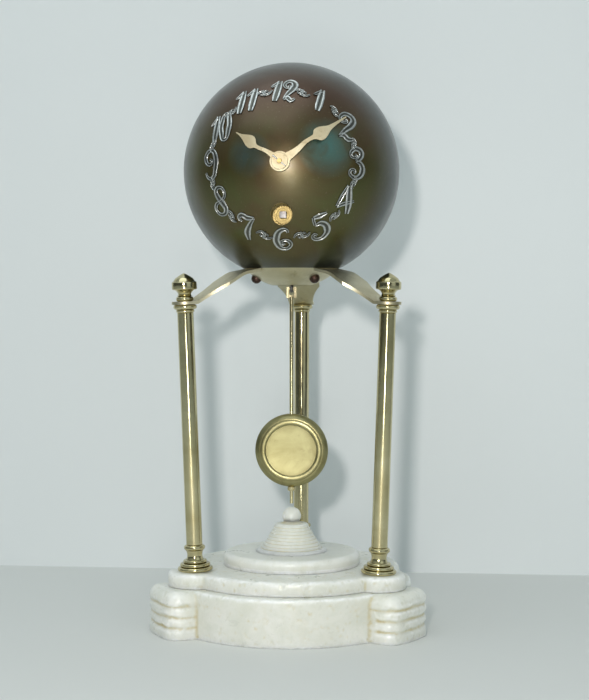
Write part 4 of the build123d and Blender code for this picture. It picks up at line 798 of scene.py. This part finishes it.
figureLook = dict(circle=39.7, tall=15.6, step=0.43, wide=1.5, pen=1.75, lead=0.3, sink=0.35, rise=0.95)
penStrokes = {  # across, up and pen width, as shares
    "0": [("loop", [(0.06, 1.00, 0.5), (-0.15, 0.66, 1.0), (-0.15, 0.28, 1.0), (-0.03, 0.0, 0.5),
                    (0.16, 0.36, 1.0), (0.17, 0.72, 0.95)])],
    "1": [("line", [(-0.20, 0.70, 0.3), (-0.10, 0.78, 0.6), (0.06, 0.93, 0.6)]),
          ("line", [(0.10, 1.00, 0.75), (0.05, 0.62, 1.15), (-0.01, 0.25, 1.15), (-0.05, 0.02, 0.8)])],
    "2": [("line", [(-0.04, 0.76, 0.35), (0.01, 0.70, 0.4), (-0.06, 0.63, 0.45), (-0.16, 0.72, 0.55),
                    (-0.11, 0.92, 0.7), (0.05, 0.99, 0.85), (0.18, 0.84, 1.1), (0.13, 0.60, 1.1),
                    (-0.02, 0.36, 0.8), (-0.15, 0.12, 0.5)]),
          ("line", [(-0.18, 0.08, 0.4), (-0.06, 0.15, 0.85), (0.07, 0.05, 0.85), (0.22, 0.12, 0.3)])],
    "3": [("line", [(-0.03, 0.80, 0.35), (0.01, 0.74, 0.4), (-0.06, 0.69, 0.45), (-0.14, 0.78, 0.55),
                    (-0.08, 0.94, 0.7), (0.06, 0.99, 0.8), (0.16, 0.85, 1.05), (0.10, 0.67, 0.8),
                    (-0.02, 0.57, 0.4)]),
          ("line", [(0.00, 0.57, 0.4), (0.14, 0.47, 0.85), (0.18, 0.24, 1.15), (0.06, 0.03, 0.8),
                    (-0.11, 0.06, 0.6), (-0.17, 0.20, 0.55), (-0.10, 0.29, 0.45), (-0.03, 0.22, 0.4),
                    (-0.07, 0.16, 0.35)])],
    "4": [("line", [(0.08, 1.00, 0.45), (-0.10, 0.68, 0.7), (-0.25, 0.36, 0.5)]),
          ("line", [(-0.25, 0.35, 0.5), (-0.06, 0.40, 0.65), (0.20, 0.40, 0.4)]),
          ("line", [(0.11, 0.99, 0.8), (0.08, 0.62, 1.15), (0.05, 0.28, 1.15), (0.01, 0.01, 0.7)])],
    "5": [("line", [(-0.12, 0.90, 0.5), (0.03, 0.94, 0.95), (0.20, 1.01, 0.4)]),
          ("line", [(-0.13, 0.92, 0.5), (-0.12, 0.76, 0.5), (-0.10, 0.62, 0.45)]),
          ("line", [(-0.09, 0.61, 0.45), (0.06, 0.65, 0.9), (0.18, 0.42, 1.2), (0.12, 0.13, 0.85),
                    (-0.04, 0.02, 0.65), (-0.16, 0.12, 0.55), (-0.13, 0.25, 0.5), (-0.06, 0.20, 0.4)])],
    "6": [("line", [(0.12, 0.70, 0.4), (0.10, 0.80, 0.5), (-0.03, 0.80, 0.8), (-0.14, 0.56, 1.1),
                    (-0.14, 0.22, 1.1), (-0.02, 0.00, 0.7), (0.13, 0.07, 0.65), (0.16, 0.27, 0.65),
                    (0.05, 0.38, 0.55), (-0.05, 0.30, 0.45), (-0.01, 0.21, 0.4), (0.04, 0.24, 0.35)])],
    "7": [("line", [(-0.10, 0.74, 0.35), (-0.18, 0.82, 0.5), (-0.13, 0.96, 0.8), (0.03, 0.90, 0.9),
                    (0.20, 0.93, 0.4)]),
          ("line", [(0.19, 0.92, 0.4), (0.08, 0.62, 0.8), (0.01, 0.30, 1.15), (0.03, 0.01, 0.6)])],
    "8": [("loop", [(0.13, 0.86, 0.5), (0.02, 0.99, 0.5), (-0.12, 0.86, 0.75), (-0.07, 0.66, 1.0),
                    (0.07, 0.46, 1.15), (0.16, 0.22, 0.9), (0.04, 0.02, 0.6), (-0.13, 0.12, 0.6),
                    (-0.12, 0.34, 0.6), (0.02, 0.50, 0.45), (0.13, 0.70, 0.5)])],
    "9": [("line", [(-0.15, 0.22, 0.4), (-0.10, 0.07, 0.5), (0.05, 0.04, 0.65), (0.16, 0.36, 0.9),
                    (0.16, 0.76, 1.0), (0.03, 0.98, 0.65), (-0.13, 0.88, 0.75), (-0.15, 0.64, 0.8),
                    (-0.03, 0.50, 0.55), (0.06, 0.60, 0.45), (0.00, 0.68, 0.4)])],
}
linkLook = dict(long=5.0, tight=0.68, pen=0.85)
linkStrokes = [("line", [(-1.00, -0.06, 0.45), (-0.66, 0.26, 0.85), (-0.26, 0.34, 0.95), (-0.02, 0.10, 0.9),
                         (-0.18, -0.20, 0.7), (-0.44, -0.14, 0.55), (-0.42, 0.06, 0.4)]),
               ("line", [(1.00, 0.06, 0.45), (0.66, -0.26, 0.85), (0.26, -0.34, 0.95), (0.02, -0.10, 0.9),
                         (0.18, 0.20, 0.7), (0.44, 0.14, 0.55), (0.42, -0.06, 0.4)]),
               ("line", [(-0.10, -0.52, 0.35), (0.02, -0.30, 0.7), (0.00, 0.00, 0.8), (-0.02, 0.30, 0.7),
                         (0.10, 0.52, 0.35)])]


def ballPlace(hour, tilt):
    turn = radians(hour * 30)
    lean = radians(tilt)
    out = Vector((sin(lean) * sin(turn), -cos(lean), sin(lean) * cos(turn)))
    level = (Vector((1, 0, 0)) - out * out.x).normalized()
    return out, level, out.cross(level)


def layStrokes(curve, strokes, place, size, pen, spread=1.0, shift=0.0, middle=0.0):
    out, level, up = place
    for kind, stroke in strokes:
        spline = curve.splines.new("BEZIER")
        spline.bezier_points.add(len(stroke) - 1)
        for knot, (across, rise, swell) in zip(spline.bezier_points, stroke):
            aside = level * (across * spread + shift) + up * (rise - middle)
            flat = out * dial["ball"] + aside * (size * mm)
            knot.co = dial["centre"] + flat.normalized() * dial["ball"]
            knot.radius = swell * (pen * mm)
            knot.handle_left_type = knot.handle_right_type = "AUTO"
        spline.use_cyclic_u = kind == "loop"
        spline.resolution_u = 16


def figureCurves(name):
    curve = bpy.data.curves.new(name, "CURVE")
    curve.dimensions = "3D"
    tall, pen = figureLook["tall"], figureLook["pen"]
    for hour in range(1, 13):
        place = ballPlace(hour, figureLook["circle"])
        spread = figureLook["wide"] if 1 < hour < 10 else 1.0  # 2 to 9 are drawn wider
        digits = str(hour)
        for index, digit in enumerate(digits):
            shift = (index - (len(digits) - 1) / 2) * figureLook["step"]
            layStrokes(curve, penStrokes[digit], place, tall, pen, spread, shift, middle=0.5)
    for half in range(12):
        out, level, up = ballPlace(half + 0.5, figureLook["circle"])
        turn = -radians((half + 0.5) * 30)
        along = level * cos(turn) + up * sin(turn)
        aside = up * cos(turn) - level * sin(turn)
        size = linkLook["long"] * (1 - (1 - linkLook["tight"]) * abs(sin(turn)))
        layStrokes(curve, linkStrokes, (out, along, aside), size, linkLook["pen"])
    return newObject(name, curve)


def penProfile(name, sink):  # a ribbon with two bright rims and a hollow between them
    curve = bpy.data.curves.new(name, "CURVE")
    curve.dimensions = "3D"
    rim = [(-sink, 1.0), (0.50, 1.0), (0.72, 0.86), (0.74, 0.66), (0.66, 0.50), (0.42, 0.34)]
    line = [(rise, -across) for rise, across in rim] + [(0.36, 0.0)] + rim[::-1]
    spline = curve.splines.new("POLY")
    spline.points.add(len(line) - 1)
    for knot, (rise, across) in zip(spline.points, line):
        knot.co = (rise, across, 0, 1)
    spline.use_cyclic_u = True
    return newObject(name, curve)


def raisedStrokeTree(name):
    tree, given, done = newTree(name, Profile="Object", Centre="Vector", Ball="Float", Lead="Float",
                                Rise="Float", Material="Material")
    even = addNode(tree, "GeometryNodeResampleCurve", {"Curve": given["Geometry"], "Length": given["Lead"]},
                   mode="LENGTH")
    spot = addNode(tree, "GeometryNodeInputPosition").outputs["Position"]
    away = vectors(tree, "SUBTRACT", spot, given["Centre"])
    out = vectors(tree, "NORMALIZE", away)
    skin = vectors(tree, "SCALE", out, Scale=given["Ball"])
    seat = vectors(tree, "ADD", skin, given["Centre"])
    laid = addNode(tree, "GeometryNodeSetPosition", {"Geometry": even.outputs["Curve"], "Position": seat})
    faced = addNode(tree, "GeometryNodeSetCurveNormal", {"Curve": laid.outputs["Geometry"], "Normal": out},
                    mode="FREE")
    kept = tree.nodes.new("GeometryNodeCaptureAttribute")
    kept.capture_items.new("FLOAT", "swell")
    radius = addNode(tree, "GeometryNodeInputRadius").outputs["Radius"]
    feed(tree, kept, {"Geometry": faced.outputs["Curve"], "swell": radius})
    swell = kept.outputs["swell"]
    profile = addNode(tree, "GeometryNodeObjectInfo", {"Object": given["Profile"]})
    tube = addNode(tree, "GeometryNodeCurveToMesh", {"Curve": kept.outputs["Geometry"], "Scale": swell,
                                                     "Profile Curve": profile.outputs["Geometry"],
                                                     "Fill Caps": True})
    above = maths(tree, "SUBTRACT", vectors(tree, "LENGTH", away), given["Ball"])
    share = maths(tree, "DIVIDE", above, swell)  # so thick and thin strokes stand equally high
    reach = maths(tree, "MULTIPLY_ADD", share, given["Rise"], given["Ball"])
    top = vectors(tree, "ADD", vectors(tree, "SCALE", out, Scale=reach), given["Centre"])
    flush = addNode(tree, "GeometryNodeSetPosition", {"Geometry": tube.outputs["Mesh"], "Position": top})
    return dressTree(tree, flush.outputs["Geometry"], given, done)


profile = penProfile("penProfile", figureLook["sink"])
figures = runTree(figureCurves("figureStrokes"), raisedStrokeTree("raisedStrokes"), "chapterNumerals",
                  Profile=profile, Centre=dial["centre"], Ball=dial["ball"], Lead=figureLook["lead"] * mm,
                  Rise=figureLook["rise"] * mm, Material=finishes["silvered_metal"])
bpy.data.objects.remove(profile)
with editing(figures) as bm:
    bmesh.ops.remove_doubles(bm, verts=bm.verts, dist=0.001 * mm)
    bmesh.ops.recalc_face_normals(bm, faces=bm.faces)
fit(smoothShade(figures, 40), "chapter_numerals")
print("numerals raised:", len(figures.data.polygons), "faces")


# hands

handLook = dict(rounds=2, longest=1.6, level=0.05, edge=0.16)


def roundedHand(name, node, look):  # the sheet is split finer and follows the ball's curve
    made = mergedCopy(node, name)
    with editing(made) as bm:
        bmesh.ops.triangulate(bm, faces=bm.faces)
        for _ in range(look["rounds"]):
            long = [e for e in bm.edges if e.calc_length() > look["longest"] * mm]
            reach = {v: (v.co - dial["centre"]).length for v in bm.verts}
            split = bmesh.ops.subdivide_edges(bm, edges=long, cuts=1)
            for vert in (v for v in split["geom_inner"] if isinstance(v, bmesh.types.BMVert)):
                ends = [reach[e.other_vert(vert)] for e in vert.link_edges if e.other_vert(vert) in reach]
                if len(ends) >= 2 and max(ends) - min(ends) < look["level"] * mm:
                    out = (vert.co - dial["centre"]).normalized()
                    vert.co = dial["centre"] + out * (sum(ends) / len(ends))
            bmesh.ops.triangulate(bm, faces=bm.faces)
    return fit(bevelEdges(smoothShade(made, 40), look["edge"], 2, 50), node)


roundedHand("minuteHand", "minute_hand", handLook)
roundedHand("hourHand", "hour_hand", handLook)
softSolid("handWasher", "hand_washer", 40, 0.18, finishes["gilt_brass"])
softSolid("handPin", "hand_pin", 40, 0.14)
print("hands fitted")


# pendulum

bobTurn = dict(radius=20.6, edge=2.2, thick=7.6, ridge=16.0, ridgeWide=1.6, ridgeRise=0.8, dish=0.35,
               bulge=0.25, tip=0.5)
bobLow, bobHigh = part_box("pendulum_bob")


def bobProfile(radius, edge, thick, ridge, ridgeWide, ridgeRise, dish, bulge, tip):  # front face first
    half, rim = thick / 2, edge / 2
    field = half - ridgeRise
    line = [(0, field - dish)]
    line += [((ridge - ridgeWide) * s, field - dish * (1 - s ** 2)) for s in shares(10, 1)]
    for share in shares(12, 1):
        angle = pi * share
        line.append((ridge - ridgeWide * cos(angle), field + ridgeRise * sin(angle)))
    outer = ridge + ridgeWide
    line += [(outer + (radius - outer) * s, field + (rim - field) * s ** 1.7) for s in shares(8, 1)]
    for share in shares(8, 1)[:-1]:
        angle = pi * share
        line.append((radius + bulge * sin(angle), rim * cos(angle)))
    for share in shares(12):
        back = rim + (half - rim) * sin(share * pi / 2)
        line.append((radius * (1 - share) + tip * share, -back))
    return line + [(0, -half)]


facing = Matrix(((1, 0, 0), (0, 0, -1), (0, 1, 0))).to_4x4()  # lathe axis turned to the front
facing.translation = (bobLow + bobHigh) / 2
bob = lathe("pendulumBob", bobProfile(**bobTurn), facing, 128)
fit(smoothShade(bob, 40), "pendulum_bob", finish=bobFinish)
softSolid("pendulumRod", "pendulum_rod", 35, 0.15)
fit(smoothShade(mergedCopy("pendulum_leader", "pendulumHook"), 50), "pendulum_leader")

nutLook = dict(radius=2.3, ribs=28, rib=0.32, tall=2.6, bore=1.0, chamfer=0.4, face=0.5, inset=0.12,
               ribInset=0.14, ribShort=1.0)


def knurledNut(radius, ribs, rib, tall, bore, chamfer, face, inset, ribInset, ribShort):
    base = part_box("rating_nut")[0].z / mm
    top = base + tall
    line = [(bore, base), (radius - face, base), (radius - inset, base + chamfer),
            (radius - inset, top - chamfer), (radius - face, top), (bore, top)]
    body = smoothShade(lathe("ratingNutBody", line, stand, 56, True), 30)
    pattern = rod("nutRib", rib / 2 * mm, (tall - ribShort) * mm, 8)
    spots = []
    for step in range(ribs):
        angle = 2 * pi * step / ribs
        reach = (radius - ribInset) * mm
        spots.append((reach * cos(angle), reach * sin(angle), (base + tall / 2) * mm))
    grip = runTree(aimedPoints("nutRibSpots", spots, [axisZ] * ribs), repeatAlong, "nutRibs",
                   Pattern=pattern, Material=finishes["polished_brass"])
    bpy.data.objects.remove(pattern)
    with editing(body) as bm:
        bm.from_mesh(grip.data)
    bpy.data.objects.remove(grip)
    body.name = "ratingNut"
    return body


fit(knurledNut(**nutLook), "rating_nut")
print("pendulum hung")


# fasteners under the base, and what shows through the winding hole

softSolid("tieRodNuts", "tie_rod_nuts", 35, 0.3)
softSolid("tieRodWashers", "tie_rod_washers", 35, 0.2)
softSolid("windingArbor", "barrel_arbor", 35, 0.15, finishes["dark_steel"])
softSolid("ratchetWheel", "ratchet_wheel", 35, 0.12, turnedFinish)

for name, node in nodes.items():  # the rest, mostly the movement, keeps its solids and takes a finish
    if not node.hide_render:
        node.data.materials.clear()
        node.data.materials.append(finishes[slotOfNode[name]])
print("movement dressed")


# stage, light and camera

stageLook = dict(floor=(0.70, 0.705, 0.68), wall=(0.765, 0.80, 0.80), wallAt=165 * mm, wide=4.0,
                 wallWide=0.6, tall=1.6, mottle=2.2, shade=0.93, rough=0.6)


def stagePlane(name, corners, oneSided=False):
    bm = bmesh.new()
    bm.faces.new([bm.verts.new(c) for c in corners])
    made = meshObject(name, bm)
    mat, tree, shader = newMaterial(name)
    colour = stageLook[name]
    mottle = remap(tree, cloud(tree, objectSpot(tree), stageLook["mottle"], detail=3.0), 0.3, 0.7, 0.0, 0.25)
    shaded = mixColour(tree, mottle, colour, tuple(c * stageLook["shade"] for c in colour))
    feed(tree, shader, {"Base Color": shaded, "Roughness": stageLook["rough"]})
    if oneSided:
        clear = addNode(tree, "ShaderNodeBsdfTransparent")
        back = addNode(tree, "ShaderNodeNewGeometry").outputs["Backfacing"]
        both = addNode(tree, "ShaderNodeMixShader", {0: back, 1: shader.outputs[0], 2: clear.outputs[0]})
        feed(tree, tree.nodes["Material Output"], {"Surface": both.outputs[0]})
    made.data.materials.append(mat)


wide, wallWide, tall, wallAt = [stageLook[k] for k in ("wide", "wallWide", "tall", "wallAt")]
stagePlane("floor", [(x * wide, y * wide, 0) for x, y in ((-1, -1), (1, -1), (1, 1), (-1, 1))])
wallCorners = [(x * wallWide, wallAt, z * tall) for x, z in ((-1, 0), (1, 0), (1, 1), (-1, 1))]
stagePlane("wall", wallCorners, oneSided=True)

lampLook = {
    "flash": dict(spot=(0.017, -0.839, 0.274), power=3.0, size=0.035, colour=(1.0, 0.955, 0.93)),
    "bounce": dict(spot=(0.06, -0.86, 0.075), power=0.5, size=0.10, colour=(0.96, 1.0, 0.98)),
    "fill": dict(spot=(0.95, -0.85, 0.55), power=1.1, size=0.9, colour=(0.86, 0.97, 1.0)),
    "top": dict(spot=(-0.2, -0.35, 1.15), power=3.3, size=0.9, colour=(0.88, 0.97, 1.0)),
}
aimPoint = Vector((0, 0, 0.17))
for name, look in lampLook.items():
    lamp = bpy.data.lights.new(name, "AREA")
    lamp.energy = look["power"]
    lamp.size = look["size"]
    lamp.color = look["colour"]
    made = newObject(name, lamp)
    made.location = look["spot"]
    made.rotation_euler = (aimPoint - made.location).to_track_quat("-Z", "Y").to_euler()

skyLook = dict(high=(0.80, 0.93, 0.96), low=(0.12, 0.14, 0.135), band=(0.05, 0.6), power=0.5)
world = bpy.data.worlds.new("studio")
world.use_nodes = True
sky = world.node_tree
way = addNode(sky, "ShaderNodeTexCoord").outputs["Generated"]
lift = remap(sky, spotAlong(sky, way, "Z"), *skyLook["band"])  # darker at eye level, as a room is
tint = mixColour(sky, lift, skyLook["low"], skyLook["high"])
feed(sky, sky.nodes["Background"], {"Color": tint, "Strength": skyLook["power"]})
scene.world = world

cameraLook = dict(spot=(82.3 * mm, -839 * mm, 180.7 * mm), heading=5.49, pitch=1.70, lens=76.25, sensor=36.0)
lens = bpy.data.cameras.new("photoLens")
lens.lens = cameraLook["lens"]
lens.sensor_width = cameraLook["sensor"]
camera = newObject("photoCamera", lens)
camera.location = cameraLook["spot"]
camera.rotation_euler = (radians(90 - cameraLook["pitch"]), 0, radians(cameraLook["heading"]))
scene.camera = camera
scene.view_settings.view_transform = "Standard"
print("stage lit")
